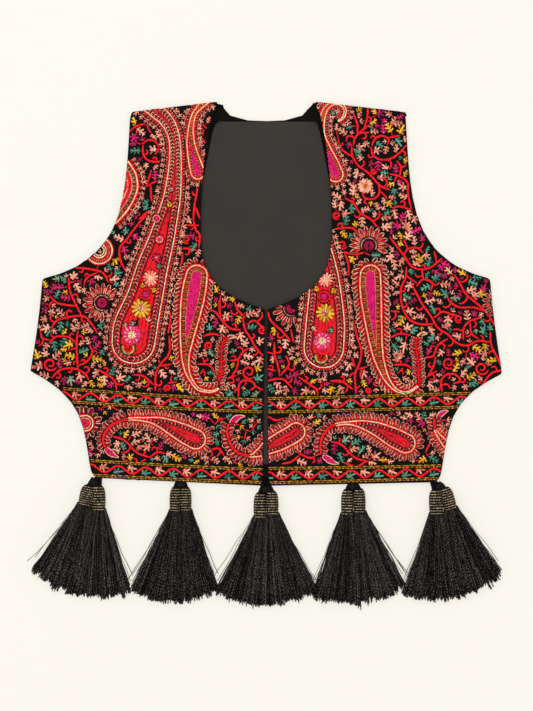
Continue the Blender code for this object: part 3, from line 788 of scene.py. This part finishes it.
            "332.4,381 343,382.4 349,386.6", "330,441 342,445 354,457 367,461", "343,462 356,466 366,461",
            "425,452 430,440 428,428",
            "294,448 302,454.5 311,457.5 318,454", "282,463.5 291,461.5 299,455",
            "268,416.5 276,420 284,418",
            "303,418.5 310,424 313,433"],
        "curls": [(373, 172, 3, 0), (336.5, 216, 4, 1), (458, 319, 4, 1), (481, 368, 7, 0.3),
        (448, 363, 6, 1),
                  (342.3, 245, 4.5, 0.5), (368, 390, 3, 0), (376, 383, 3, 1)],
    },
}

# the share of leaves in each pair of threads, and of each form
leafThreads = {"salmon peach": 0.38, "salmon scarlet": 0.1, "green sage": 0.16, "sage green": 0.04,
               "mustard gold": 0.14, "raspberry crimson": 0.13, "magenta peach": 0.05}
leafForms = {"maple": 0.36, "oak": 0.42, "wing": 0.22}
budSize = 6.2      # leaves smaller than this are plain buds

# radius, motif, stitch and thread of each ring: the half circle at the armhole, and the crescents
ringPlans = {
    "dome": [(14.1, "row", 2.5, "scarlet"), (12.9, "row", 2.7, "cream"), (11.6, "row", 2.5, "crimson"),
             (10.4, "knot", 1.3, "salmon maroon"), (9.2, "row", 2.5, "scarlet"),
             (8.1, "row", 2.5, "crimson"), (7.0, "row", 2.6, "cream"),
             (5.8, "knot", 1.3, "maroon salmon"), (4.7, "row", 2.2, "cream")],
    "moon": [(6.3, "row", 2.4, "sage"), (5.3, "row", 2.4, "mustard"), (4.2, "row", 2.2, "scarlet"),
             (3.1, "row", 2.0, "scarlet"), (2.1, "row", 1.6, "crimson")],
}


# one of several names, each as likely as its share
def pick(shares):
    return list(shares)[rng.choice(len(shares), p=list(shares.values()))]


# a leaf at a place, if that share of it lies on bare cloth
def sewLeaf(cloth, x, y, angle, size, room):
    threads = pick(leafThreads).split()
    motif = pick(leafForms) if size > budSize else "bud"
    if sewMotif(cloth, motif, x, y, angle, size, threads, room=room, mirror=rng.choice((1, -1))):
        settle(cloth, 0.05)
        return True
    return False


# the gold lines are three close rows of yellow and brown thread
goldCourses = [("fine", -0.85, 2.4, 1.7, 8, "mustard gold gold mustard"),
               ("fine", 0.1, 2.0, 3.0, -8, "maroon gold"),
               ("fine", 0.95, 2.4, 1.7, 8, "gold mustard maroon mustard gold")]


# how near its vine a leaf may be, how far it sways, where its foot is as a share of its size, how far its
# stem bends, and the shortest stem that is sewn
stemMake = {"nearest": 1.5, "sway": 0.4, "foot": 0.35, "bend": 0.2, "shortest": 1}


# a leaf at a place, on a stem that springs from the nearest vine
def sewStem(cloth, x, y, size, room, reach):
    make = stemMake
    stems = np.concatenate(cloth["stems"])
    away = np.hypot(stems[:, 0] - x, stems[:, 1] - y)
    root = stems[np.argmin(away)]
    if not make["nearest"] < away.min() < reach:
        return
    way = math.atan2(y - root[1], x - root[0]) + rng.uniform(-make["sway"], make["sway"])
    foot = make["foot"] * size
    x, y = x - foot * math.cos(way), y - foot * math.sin(way)
    if sewLeaf(cloth, x, y, way, size, room):
        t = np.linspace(0, 1, 6)[:, None]
        bend = rng.uniform(-make["bend"], make["bend"]) * np.array([root[1] - y, x - root[0]])
        path = root + t * (np.array([x, y]) - root) + t * (1 - t) * bend
        if lengths(path)[-1] > make["shortest"]:
            sewCourse(cloth, path, ("row", 0, 2.4, 1.7, 0, "scarlet"))
            settle(cloth, 0.1)
            cloth["stems"].append(path[1:])


# Half the distance between a vine's rows, the length over which they draw together at an end, its stitch
# and pitch, the spacing of its leaves, how far off they start and how they lean, and the leaf at its end.
vineMake = {"half": 0.47, "taper": 7.0, "stitch": 2.4, "pitch": 1.75, "leafPitch": 4.2, "leafGap": 1.8,
            "leafLean": (40, 75), "endGap": 0.8, "endLeaf": 9, "endRoom": 0.8}
# size of a vine's leaves, tried in turn, and the share of each that must lie on bare cloth
vineLeaves = ((11.5, 0.88), (10, 0.9), (8.5, 0.93), (7, 0.95))


# a vine is two rows of stitches side by side that draw together at both ends
def sewVine(cloth, path, leaves=True, onTop=False):
    path = evenly(path)
    x, y, angle = walk(path, vineMake["pitch"])
    run = np.arange(len(x)) * vineMake["pitch"]
    off = vineMake["half"] * np.minimum(1, 0.3 + np.minimum(run, run[-1] - run) / vineMake["taper"])
    for side in (1, -1):
        sewMotif(cloth, "row", x - side * off * np.sin(angle), y + side * off * np.cos(angle), angle,
                 vineMake["stitch"], ["scarlet"], onTop)
    if leaves:
        cloth["stems"].append(path[::2])


# The spacing of shoots, the tries for each, its length and how much shorter each further try is, the
# degrees at which it leaves its vine and through which it then bends, the length at its foot that needs no
# room, and half the width of the room that the rest needs.
shootMake = {"pitch": 15, "tries": 8, "reach": (7, 14), "shorter": 0.04, "leaves": (30, 60),
             "bends": (-110, 230), "hugs": 2.6, "clear": 1.9}


# side shoots: short stems that leave a vine to either side and curl, where there is bare cloth for them
def growShoots(cloth, paths):
    make = shootMake
    grown = []
    t = np.linspace(0, 1, 18)
    for path in paths:
        x, y, angle = walk(evenly(path), make["pitch"])
        for k in range(len(x)):
            for attempt in range(make["tries"]):
                side = 1 if (k + attempt) % 2 else -1
                reach = rng.uniform(*make["reach"]) * (1 - attempt * make["shorter"])
                heading = angle[k] + side * (math.radians(rng.uniform(*make["leaves"]))
                                             + math.radians(rng.uniform(*make["bends"])) * t ** 1.4)
                px = x[k] + np.cumsum(np.cos(heading)) * reach / len(t)
                py = y[k] + np.cumsum(np.sin(heading)) * reach / len(t)
                far = np.hypot(px - x[k], py - y[k]) > make["hugs"]
                clear = []
                for off in (-make["clear"], 0, make["clear"]):
                    clear.append(isBare(cloth, px - off * np.sin(heading), py + off * np.cos(heading)))
                if np.all(np.array(clear)[:, far]):
                    shoot = np.stack([px, py], 1)
                    sewVine(cloth, shoot, onTop=True)
                    settle(cloth, 0.25)
                    grown.append(shoot)
                    break
    return grown


# leaves along a vine: one at its end and others on both sides
def dressVine(cloth, path):
    make = vineMake
    x, y, angle = walk(evenly(path), make["leafPitch"])
    end, before = path[-1], path[-3]
    way = math.atan2(end[1] - before[1], end[0] - before[0])
    sewLeaf(cloth, end[0] + make["endGap"] * math.cos(way), end[1] + make["endGap"] * math.sin(way), way,
            make["endLeaf"], make["endRoom"])
    for k in range(len(x)):
        side = 1 if k % 2 else -1
        way = angle[k] + side * math.radians(rng.uniform(*make["leafLean"]))
        px, py = x[k] + make["leafGap"] * math.cos(way), y[k] + make["leafGap"] * math.sin(way)
        for size, room in vineLeaves:
            if sewLeaf(cloth, px, py, way, size, room):
                break


# degrees to each petal, where petals start outside the core, and the rings: distance from the core's edge,
# thread, motif, stitch, and degrees that it goes on past the petals
rosetteMake = {"petal": 18, "least": 5, "foot": 2.2, "rings": (
    (1, "salmon", "line", 2.4, 8), (-0.4, "maroon", "line", 2.2, 60), (-2.4, "magenta", "row", 2, 60),
    (-3.5, "crimson", "row", 1.6, 60), (-4.6, "raspberry", "knot", 1.4, 60))}


# a fan of petals round a core, between two angles
def sewRosette(cloth, x, y, core, outer, start, end):
    count = max(rosetteMake["least"], int(abs(end - start) / rosetteMake["petal"]))
    angle = np.radians(np.linspace(start, end, count))
    foot = core + rosetteMake["foot"]
    sewMotif(cloth, "petal", x + foot * np.cos(angle), y + foot * np.sin(angle), angle,
             outer - foot, ["salmon", "scarlet", "crimson"])
    for off, thread, motif, size, spread in rosetteMake["rings"]:
        past = math.copysign(spread, end - start)
        turn = np.radians(np.linspace(start - past, end + past, 60))
        sewRing(cloth, x, y, core + off, turn, motif, size, thread)
    settle(cloth)


# size of leaf, places tried, share of it that must lie on bare cloth, and how far off its vine may be
filling = [(11.5, 1200, 0.9, 12), (10, 1700, 0.91, 12), (8.6, 2100, 0.93, 12), (7.2, 2400, 0.94, 14),
           (5.6, 2600, 0.95, 20), (4.6, 1600, 0.97, 22)]


# how far leaves sit from the strip's middle, their lean, how much that varies, their size, how far they
# start before the bend, and the height of the vine's waves
borderMake = {"drop": 3, "lean": 12, "sway": 10, "leaf": 11, "lead": 5.2, "wave": 3.6}


# a border strip between two gold lines: a waving vine with a leaf in each bend
def sewBorder(cloth, chart, upper, lower):
    make, period = borderMake, chart["vinePeriod"]
    xs = np.arange(upper[0, 0] - 2, upper[-1, 0] + 2, 1.0)
    middle = (np.interp(xs, *upper.T) + np.interp(xs, *lower.T)) / 2
    wave = np.cos(2 * math.pi * (xs - chart["vineStart"]) / period)
    peaks = chart["vineStart"] + period * np.arange(-3, 9)
    for at, side, threads in ((0, 1, ["green", "sage"]), (0.5, -1, ["salmon", "scarlet"])):
        for px in peaks + at * period:
            if xs[0] < px < xs[-1]:
                py = np.interp(px, xs, middle) + side * make["drop"]
                turn = math.radians(rng.uniform(-make["sway"], make["sway"]) - side * make["lean"])
                sewMotif(cloth, "maple", px - make["lead"], py, turn, make["leaf"], threads)
    sewVine(cloth, np.stack([xs, middle - make["wave"] * wave], 1), leaves=False)
    settle(cloth)
    upperAt, lowerAt = np.interp(cloth["xs"], *upper.T), np.interp(cloth["xs"], *lower.T)
    cloth["taken"] |= (cloth["ys"][:, None] > upperAt[None]) & (cloth["ys"][:, None] < lowerAt[None])


# One front, from what lies foremost to what fills the gaps, because later parts give way to earlier ones.
def sewFront(node):
    cloth, chart = startCloth(node), charts[node]
    gold = [spline(chartPoints(text)) for text in chart["goldLines"]]
    below = np.interp(cloth["xs"], *gold[3].T)
    for path in gold:
        for course in goldCourses:
            sewCourse(cloth, path, course)
    settle(cloth, 0.2)
    cloth["taken"] |= cloth["ys"][:, None] > below[None]
    for upper, lower in (gold[:2], gold[2:]):
        sewBorder(cloth, chart, upper, lower)
    for motif, x, y, size, threads in chart["flowers"]:
        sewMotif(cloth, motif, x, y, rng.uniform(0, 6), size, threads.split())
        settle(cloth, 0.1)
    for kind, x, y, start, end in chart["domes"]:
        turn = np.radians(np.linspace(start, end, 60))
        for radius, motif, size, thread in ringPlans[kind]:
            sewRing(cloth, x, y, radius, turn, motif, size, thread)
        settle(cloth)
    for plan, text in chart["paisleys"]:
        sewPaisley(cloth, plan, text)
    for text in chart["scallops"]:
        path = spline(chartPoints(text))
        for course in paisleyPlans["armhole"]:
            sewCourse(cloth, path, course)
        settle(cloth)
    for text in chart["tails"]:
        for course in paisleyPlans["plume"]:
            for mirror in (1, -1):
                sewCourse(cloth, spline(chartPoints(text)), course, mirror)
        settle(cloth)
    for rosette in chart["rosettes"]:
        sewRosette(cloth, *rosette)
    for plan, text in chart["bigLeaves"]:
        sewPaisley(cloth, plan, text)
    vines = [spline(chartPoints(text)) for text in chart["vines"]]
    for path in vines:
        sewVine(cloth, path)
    for x, y, radius, turn in chart["curls"]:
        sewVine(cloth, curl(x, y, radius, turn))
    settle(cloth, 0.25)
    shoots = growShoots(cloth, vines)
    for path in vines + shoots:
        dressVine(cloth, path)
    # what is still bare is filled with smaller and smaller leaves
    for size, tries, room, reach in filling:
        bare = np.argwhere(cloth["open"] & ~cloth["taken"])
        for j, i in bare[rng.integers(0, len(bare), tries)]:
            sewStem(cloth, cloth["left"] + i * cell, cloth["top"] + j * cell, size, room, reach)
    return cloth


# Thread into mesh

# joins many copies of one small closed mesh into a piece, each with its own tone
def joinCopies(name, faces, places, tones, uvs, finish):
    copies, points = places.shape[:2]
    corners = (faces[None] + points * np.arange(copies)[:, None, None]).ravel()
    mesh = bpy.data.meshes.new(name)
    mesh.vertices.add(copies * points)
    mesh.vertices.foreach_set("co", places.ravel())
    mesh.loops.add(len(corners))
    mesh.loops.foreach_set("vertex_index", corners)
    mesh.polygons.add(len(corners) // 3)
    mesh.polygons.foreach_set("loop_start", np.arange(0, len(corners), 3))
    mesh.update(calc_edges=True)
    tone = mesh.attributes.new("tone", "FLOAT", "POINT")
    tone.data.foreach_set("value", np.repeat(tones, points))
    uv = mesh.uv_layers.new(name="thread")
    uv.data.foreach_set("uv", uvs.reshape(-1, 2)[corners].ravel())
    mesh.materials.append(finish)
    mesh.shade_smooth()
    return addObject(name, mesh)


# the points and triangles of a small closed mesh that is copied
def templateOf(bm):
    bmesh.ops.triangulate(bm, faces=bm.faces)
    bm.verts.index_update()
    points = np.array([v.co for v in bm.verts])
    faces = np.array([[v.index for v in f.verts] for f in bm.faces])
    bm.free()
    return points, faces


# A stitch is a short bead with two blunt ends, broader below than above.
bm = bmesh.new()
bmesh.ops.create_uvsphere(bm, u_segments=4, v_segments=3, radius=1)
bmesh.ops.rotate(bm, verts=bm.verts, matrix=Matrix.Rotation(math.pi / 4, 3, "Z"))
bmesh.ops.rotate(bm, verts=bm.verts, matrix=Matrix.Rotation(math.pi / 2, 3, "Y"))
for v in bm.verts:
    if abs(v.co.x) < 0.9:
        v.co.x *= 1.42
        v.co.y *= 1.05 if v.co.z > 0 else 1.6
        v.co.z = math.copysign(1, v.co.z)
stitchPoints, stitchFaces = templateOf(bm)

# Mercerised cotton: a tight twisted thread with a slight gloss, and faint painted highlight and shade from
# its plies and flecks.
stitchLook = {"twist": 35, "ply": 0.9, "uneven": 0.6, "plyPaintedLight": 0.25, "glintSize": 0.8, "glintStrength": 0.3,
              "roughness": 0.55, "sheen": 0.0, "specular": 0.15}
threadColours = {
    "scarlet": ("#c80a16", "#fc1822"), "crimson": ("#7c0614", "#c81826"),
    "maroon": ("#26040a", "#6e0c18"), "salmon": ("#a84a3c", "#f7a98c"), "peach": ("#d88a66", "#fccaa2"),
    "cream": ("#d8b078", "#fce8bc"), "mustard": ("#a86808", "#f4ba28"), "orange": ("#a04418", "#e88446"),
    "green": ("#1a4637", "#5c987e"), "sage": ("#44563e", "#8c9f80"), "magenta": ("#a80648", "#e41874"),
    "raspberry": ("#700a30", "#c02258"),
    "gold": ("#4c2c0c", "#a87426"),
}
# A stitch's rise above the cloth in mm, more for a thicker thread, how much of it is under the thread's
# middle, and how uneven the sewing is: places, directions, widths, heights and tones.
stitchMake = {"least": 0.25, "perWidth": 0.2, "below": 0.3, "shift": 0.06, "swing": 0.05,
              "widths": (0.9, 1.1), "raised": 0.08, "tones": (-0.25, 0.8)}


# all of a front's stitches in one thread colour, as one piece
def stitchMesh(node, thread, rows):
    make = stitchMake
    x, y, angle, length, width, lift = rows
    count = len(x)
    x, y = toFrame(x + rng.normal(0, make["shift"], count), y + rng.normal(0, make["shift"], count))
    angle = -angle + rng.normal(0, make["swing"], count)
    width = width * rng.uniform(*make["widths"], count)
    rise = make["least"] + make["perWidth"] * width
    along = stitchPoints[:, 0] * (length / 2 * mm)[:, None]
    side = stitchPoints[:, 1] * (width / 2 * mm)[:, None]
    height = stitchPoints[:, 2]
    up = np.where(height > 0, height, height * make["below"]) * (rise * mm)[:, None]
    px = x[:, None] + along * np.cos(angle)[:, None] - side * np.sin(angle)[:, None]
    py = y[:, None] + along * np.sin(angle)[:, None] + side * np.cos(angle)[:, None]
    level = lift + rng.uniform(0, make["raised"], count)
    pz = heightAt(made[node]["field"], px, py) + (level * mm)[:, None] + up
    around = np.arctan2(stitchPoints[:, 1], height) * 0.6
    uvs = np.stack([along / mm + rng.uniform(0, 50, (count, 1)), np.broadcast_to(around, along.shape)], -1)
    piece = joinCopies(f"{node}_{thread}_thread", stitchFaces, np.stack([px, py, pz], -1),
                       rng.uniform(*make["tones"], count), uvs, threadFinish[thread])
    fitPiece(piece, [])
    return count


threadFinish = {name: spunThread(f"{name}_cotton_thread", dark, light, stitchLook)
                for name, (dark, light) in threadColours.items()}
for node in charts:
    cloth = sewFront(node)
    total = sum(stitchMesh(node, thread, np.hstack(rows)) for thread, rows in cloth["threads"].items())
    print(node, "embroidered with", total, "stitches")

# Tassels

# hem x, top and base of the head (x, y), its radius, spread of the skirt in degrees from straight down,
# skirt length
tassels = {
    "1a": (-171.6, (-176.6, -132.6), (-180.8, -151.9), 7.2, (-39, 6), 84.0),
    "1b": (-167.0, (-167.2, -132.8), (-167.0, -157.0), 7.2, (-32, 21), 86.0),
    "2a": (-87.6, (-90.4, -134.4), (-90.8, -158.0), 5.8, (-30, 12), 89.0),
    "2b": (-83.0, (-80.2, -134.4), (-80.0, -157.4), 5.8, (-10, 21), 85.0),
    "3a": (-2.4, (-6.2, -140.0), (-6.5, -164.5), 6.4, (-30, 10), 85.5),
    "3b": (2.2, (5.8, -138.4), (6.1, -161.2), 6.4, (-10, 30), 87.4),
    "4a": (84.4, (80.8, -136.6), (80.6, -161.4), 6.3, (-22, 12), 87.0),
    "4b": (89.0, (92.6, -135.8), (93.0, -159.2), 6.3, (-8, 32), 86.0),
    "5a": (166.6, (168.8, -136.6), (169.4, -161.0), 7.2, (-22, 28), 85.0),
    "5b": (171.2, (177.6, -134.8), (183.6, -156.0), 7.0, (-2, 38), 82.0),
}
# counts of threads, locks, windings, stray threads and bends in a thread, and sizes in mm
tasselMake = {"threads": 600, "locks": 50, "threadRadius": 0.42, "headHeight": 7.5, "cordRadius": 1.7,
              "cordHemHeight": 2.6, "rings": 9, "strays": 40, "bends": 6, "wave": 0.5}
# How uneven a skirt is: degrees that threads lean apart, degrees that strays leave the fan, uneven lengths
# of threads and of locks, how closely a lock keeps together, the lowest tip and the height over which tips
# lie, and the tone of threads.
skirtMake = {"lean": 0.9, "leave": (2, 7), "threadEnds": 0.014, "lockEnds": 0.022, "gather": 0.75,
             "lowest": 0.6, "pile": 6.5, "tones": (-2.4, -1.7)}
# how wide the head is along its length, as shares of its radius
headShape = ((0.0, 0.5), (0.06, 0.68), (0.16, 0.86), (0.32, 0.97), (0.6, 1.0), (1.0, 0.94))
# the knot's two balls: half sizes, how far below the knot's place, and height over the table
knotShape = (((5.4, 5.0, 3.2), 0, 4.6), ((4.0, 9.0, 2.5), 7, 3.4))
# one turn of winding: where along it, and how far out of the head's outline, the black turn then the gold
windingShape = ((0.0, -0.5), (0.12, -0.1), (0.32, 0.0), (0.52, -0.1), (0.66, -0.5),
                (0.72, 0.2), (0.84, 0.4), (0.94, 0.2))

# Rayon: a silky black thread with a soft gloss along it. Its grey-brown light colour is painted highlight,
# brought out in flecks and twist bands along each thread.
blackRayon = spunThread("black_rayon_thread", "#020101", "#8e8477", {
    "twist": 40, "ply": 2.2, "uneven": 6.0, "plyPaintedLight": 0.75, "glintSize": 1.0, "glintStrength": 3.0,
    "roughness": 0.55, "sheen": 0.0, "specular": 0.12})
# Metal-wrapped thread, dulled with age. Its bright dashes along the thread are painted glints.
goldThread = spunThread("dull_gold_thread", "#2c2212", "#d6bd88", {
    "twist": 60, "ply": 0.9, "uneven": 0.6, "plyPaintedLight": 0.4, "glintSize": 1.5, "glintStrength": 5.3,
    "roughness": 0.4, "sheen": 0.0, "specular": 0.5})

bm = bmesh.new()
bmesh.ops.create_cone(bm, cap_ends=True, segments=3, radius1=1, radius2=1, depth=1)
longEdges = [e for e in bm.edges if abs(e.verts[0].co.z - e.verts[1].co.z) > 0.5]
bmesh.ops.subdivide_edges(bm, edges=longEdges, cuts=tasselMake["bends"])
bmesh.ops.translate(bm, verts=bm.verts, vec=(0, 0, 0.5))
hairPoints, hairFaces = templateOf(bm)


# crimped threads from start to end, bent towards the middle, a little thicker at the tip
def sweepHair(start, middle, end, radius, wave):
    t = hairPoints[:, 2][None, :, None]
    line = (1 - t) ** 2 * start[:, None] + 2 * t * (1 - t) * middle[:, None] + t ** 2 * end[:, None]
    way = end - start
    way = way / np.linalg.norm(way, axis=1)[:, None]
    side = np.cross(way, (0, 0, 1))
    side /= np.linalg.norm(side, axis=1)[:, None]
    over = np.cross(side, way)
    phase = rng.uniform(0, 2 * math.pi, (len(start), 1, 1))
    crimps = rng.uniform(9, 16, phase.shape)        # radians of wave along a thread
    line = line + side[:, None] * np.sin(phase + t * crimps) * wave
    out = side[:, None] * hairPoints[None, :, 0:1] + over[:, None] * hairPoints[None, :, 1:2]
    return line + out * radius[:, None, None] * (0.85 + 0.5 * t)


# threads leave the foot of the head in locks that fan out over the table, and a few stray from them
def makeSkirt(name, top, base, wide, fan, length):
    make, skirt = tasselMake, skirtMake
    count, locks = make["threads"], make["locks"]
    top, base = np.array([*top, make["headHeight"]]), np.array([*base, make["headHeight"]])
    way = (base - top) / np.linalg.norm(base - top)
    side = np.array([-way[1], way[0], 0])
    u, v = rng.uniform(-1, 1, count), rng.uniform(-1, 1, count)
    start = base + side * (u * wide * 0.97)[:, None] - way * 1.0
    start[:, 2] += v * wide * 0.8 * np.sqrt(1 - u * u * 0.9)
    lock = np.clip(((u + 1) / 2 * locks + rng.normal(0, 0.15, count)).astype(int), 0, locks - 1)
    middleOfLock = (lock + 0.5) / locks * 2 - 1 + rng.normal(0, 0.6 / locks, locks)[lock]
    u = middleOfLock + (u - middleOfLock) * skirt["gather"]
    tilt = np.radians(fan[0] + (fan[1] - fan[0]) * (u + 1) / 2 + rng.normal(0, skirt["lean"], count))
    stray = np.arange(count) < make["strays"]
    tilt[stray] += np.radians(np.where(u[stray] > 0, 1, -1) * rng.uniform(*skirt["leave"], stray.sum()))
    reach = length * (1 + rng.normal(0, skirt["threadEnds"], count)
                      + rng.normal(0, skirt["lockEnds"], locks)[lock])
    reach[stray] *= rng.uniform(0.8, 1, stray.sum())
    end = base + np.stack([np.sin(tilt) * reach, -np.cos(tilt) * reach, np.zeros(count)], 1)
    end[:, 2] = skirt["lowest"] + (v + 1) / 2 * skirt["pile"]
    middle = start * 0.6 + end * 0.4 + way * 3 + rng.normal(0, 1.1, (count, 3))
    middle[:, 2] = np.maximum(middle[:, 2], 1)
    thick = make["threadRadius"] * rng.uniform(0.8, 1.2, count) * np.where(stray, 0.6, 1)
    hair = sweepHair(start, middle, end, thick, make["wave"])
    uvs = np.stack([hairPoints[:, 2] * length + rng.uniform(0, 200, (count, 1)),
                    np.broadcast_to(hairPoints[:, 0], hair.shape[:2])], -1)
    tones = rng.uniform(*skirt["tones"], count) + rng.normal(0, 0.08, locks)[lock]
    return joinCopies(f"tassel_{name}_skirt", hairFaces, hair * mm, tones, uvs, blackRayon)


# y of the hem, in mm from the frame's origin, where a cord leaves it
def hemAt(x):
    return np.interp(x, (-174, -3.9, 2, 173), (-125.5, -133.5, -133.5, -130.0))


# the wound head: turns of black thread with a dull gold one between, spun from one outline
def makeHead(name, hemX, top, base, broad, knot):
    make = tasselMake
    rings, cordRadius = make["rings"], make["cordRadius"]
    top, base = Vector((*top, make["headHeight"])), Vector((*base, make["headHeight"]))
    way = (base - top).normalized()
    long = (base - top).length
    bm = bmesh.new()
    outline = []
    for k in range(rings):
        for at, out in windingShape:
            t = (k + at) / rings
            wide = np.interp(t, *zip(*headShape)) * broad
            outline.append(bm.verts.new((wide + out * 0.55, 0, t * long)))
    foot, crown = bm.verts.new((0, 0, long)), bm.verts.new((0, 0, 0))
    chain = [crown] + outline + [foot]
    edges = [bm.edges.new(pair) for pair in zip(chain, chain[1:])]
    bmesh.ops.spin(bm, geom=chain + edges, cent=(0, 0, 0), axis=(0, 0, 1), angle=2 * math.pi, steps=28,
                   use_merge=True)
    bmesh.ops.remove_doubles(bm, verts=bm.verts, dist=0.001)
    bmesh.ops.recalc_face_normals(bm, faces=bm.faces)
    uv = bm.loops.layers.uv.new("thread")
    for f in bm.faces:
        share = f.calc_center_median().z / long * rings % 1
        f.material_index = 1 if 0.7 < share < 0.93 else 0
        for loop in f.loops:
            co = loop.vert.co
            loop[uv].uv = (math.atan2(co.y, co.x) * broad, co.z)
    turn = Vector((0, 0, 1)).rotation_difference(way).to_matrix()
    bmesh.ops.rotate(bm, verts=bm.verts, matrix=turn)
    bmesh.ops.translate(bm, verts=bm.verts, vec=top)
    # the hanging cord, from the hem into the crown of the head
    hem = Vector((hemX, hemAt(hemX), make["cordHemHeight"]))
    for strand in (-1, 1):
        low = hem + Vector((strand * cordRadius * 0.9, 0, 0))
        reach = top + way * 2.5 + Vector((strand * cordRadius, 0, 0)) - low
        cord = bmesh.new()
        bmesh.ops.create_cone(cord, cap_ends=True, segments=18, radius1=cordRadius, radius2=cordRadius,
                              depth=reach.length)
        upright = [e for e in cord.edges if abs(e.verts[0].co.z - e.verts[1].co.z) > reach.length / 2]
        bmesh.ops.subdivide_edges(cord, edges=upright, cuts=10)
        turn = Vector((0, 0, 1)).rotation_difference(reach).to_matrix()
        for v in cord.verts:
            angle = math.atan2(v.co.y, v.co.x) + v.co.z * 0.5       # three plies that twist as they rise
            scale = 0.86 + 0.14 * abs(math.cos(1.5 * angle))
            v.co.x, v.co.y = v.co.x * scale, v.co.y * scale
            v.co = turn @ v.co + low + reach / 2
        joined = bpy.data.meshes.new("cord")
        cord.to_mesh(joined)
        cord.free()
        bm.from_mesh(joined)
        bpy.data.meshes.remove(joined)
    # the knot that gathers the cords of a pair: a ball, and a longer one below it
    if knot:
        for size, drop, height in knotShape:
            ball = bmesh.ops.create_icosphere(bm, subdivisions=3, radius=1)["verts"]
            bmesh.ops.scale(bm, verts=ball, vec=size)
            bmesh.ops.translate(bm, verts=ball, vec=(knot[0], knot[1] - drop, height))
    bmesh.ops.scale(bm, verts=bm.verts, vec=(mm, mm, mm))
    for f in bm.faces:
        f.smooth = True
    piece = fromShape(f"tassel_{name}_head", bm, blackRayon, goldThread)
    tone = piece.data.attributes.new("tone", "FLOAT", "POINT")
    tone.data.foreach_set("value", rng.uniform(-2.6, -2.3, len(piece.data.vertices)))
    return piece


for name, (hemX, top, base, wide, fan, length) in tassels.items():
    skirt = makeSkirt(name, top, base, wide, fan, length)
    partner = tassels[name[0] + "b"][1]
    knot = ((top[0] + partner[0]) / 2, (top[1] + partner[1]) / 2 + 1) if name[1] == "a" else None
    head = makeHead(name, hemX, top, base, wide, knot)
    for piece in (skirt, head):
        fitPiece(piece, ["tassel_" + name])
print("tassels tied:", len(tassels))

# Table, light and camera

# Painted board: smooth, matt, a warm white. Its faint glow stands for a bright room all round.
boardLook = {"dark": "#8a8883", "light": "#898782", "grain": 900, "roughness": 0.9, "specular": 0.1,
             "glow": "#fefaf0", "strength": 0.652}
material, tree = newMaterial("matt_cream_board")
place = addNode(tree, "ShaderNodeTexCoord").outputs["Object"]
grain = addNode(tree, "ShaderNodeTexNoise", {}, {
    "Vector": place, "Scale": boardLook["grain"], "Detail": 3})
colour = addNode(tree, "ShaderNodeMixRGB", {}, {
    "Fac": grain.outputs["Fac"], "Color1": linear(boardLook["dark"]), "Color2": linear(boardLook["light"])})
shader = addNode(tree, "ShaderNodeBsdfPrincipled", {}, {
    "Base Color": colour.outputs[0], "Roughness": boardLook["roughness"],
    "Specular IOR Level": boardLook["specular"], "Emission Color": linear(boardLook["glow"]),
    "Emission Strength": boardLook["strength"]})
addNode(tree, "ShaderNodeOutputMaterial", {}, {"Surface": shader.outputs[0]})
bm = bmesh.new()
bmesh.ops.create_grid(bm, x_segments=1, y_segments=1, size=4)
bmesh.ops.translate(bm, verts=bm.verts, vec=(0, 0, -0.0002))
table = fromShape("table", bm, material)

lighting = {"world": 0.95, "key": 34.0, "keySize": 2.4, "keyPlace": (-0.5, 0.7, 2.4)}
world = bpy.data.worlds.new("studio")
world.use_nodes = True
bpy.context.scene.world = world
sky = world.node_tree.nodes["Background"].inputs
sky["Color"].default_value = (1, 1, 1, 1)
sky["Strength"].default_value = lighting["world"]
lamp = bpy.data.lights.new("softbox", "AREA")
lamp.energy = lighting["key"]
lamp.size = lighting["keySize"]
softbox = addObject("softbox", lamp)
softbox.location = lighting["keyPlace"]
softbox.rotation_euler = (-Vector(lighting["keyPlace"])).to_track_quat("-Z", "Y").to_euler()

view = {"lens": 100.0, "sensor": 36.0, "height": 1.975, "centre": (0.00025, -0.0035)}
lens = bpy.data.cameras.new("camera")
lens.lens = view["lens"]
lens.sensor_width = view["sensor"]
lens.clip_end = 50
camera = addObject("camera", lens)
camera.location = (*view["centre"], view["height"])
bpy.context.scene.camera = camera
bpy.context.scene.view_settings.view_transform = "Standard"
print("table, light and camera set")
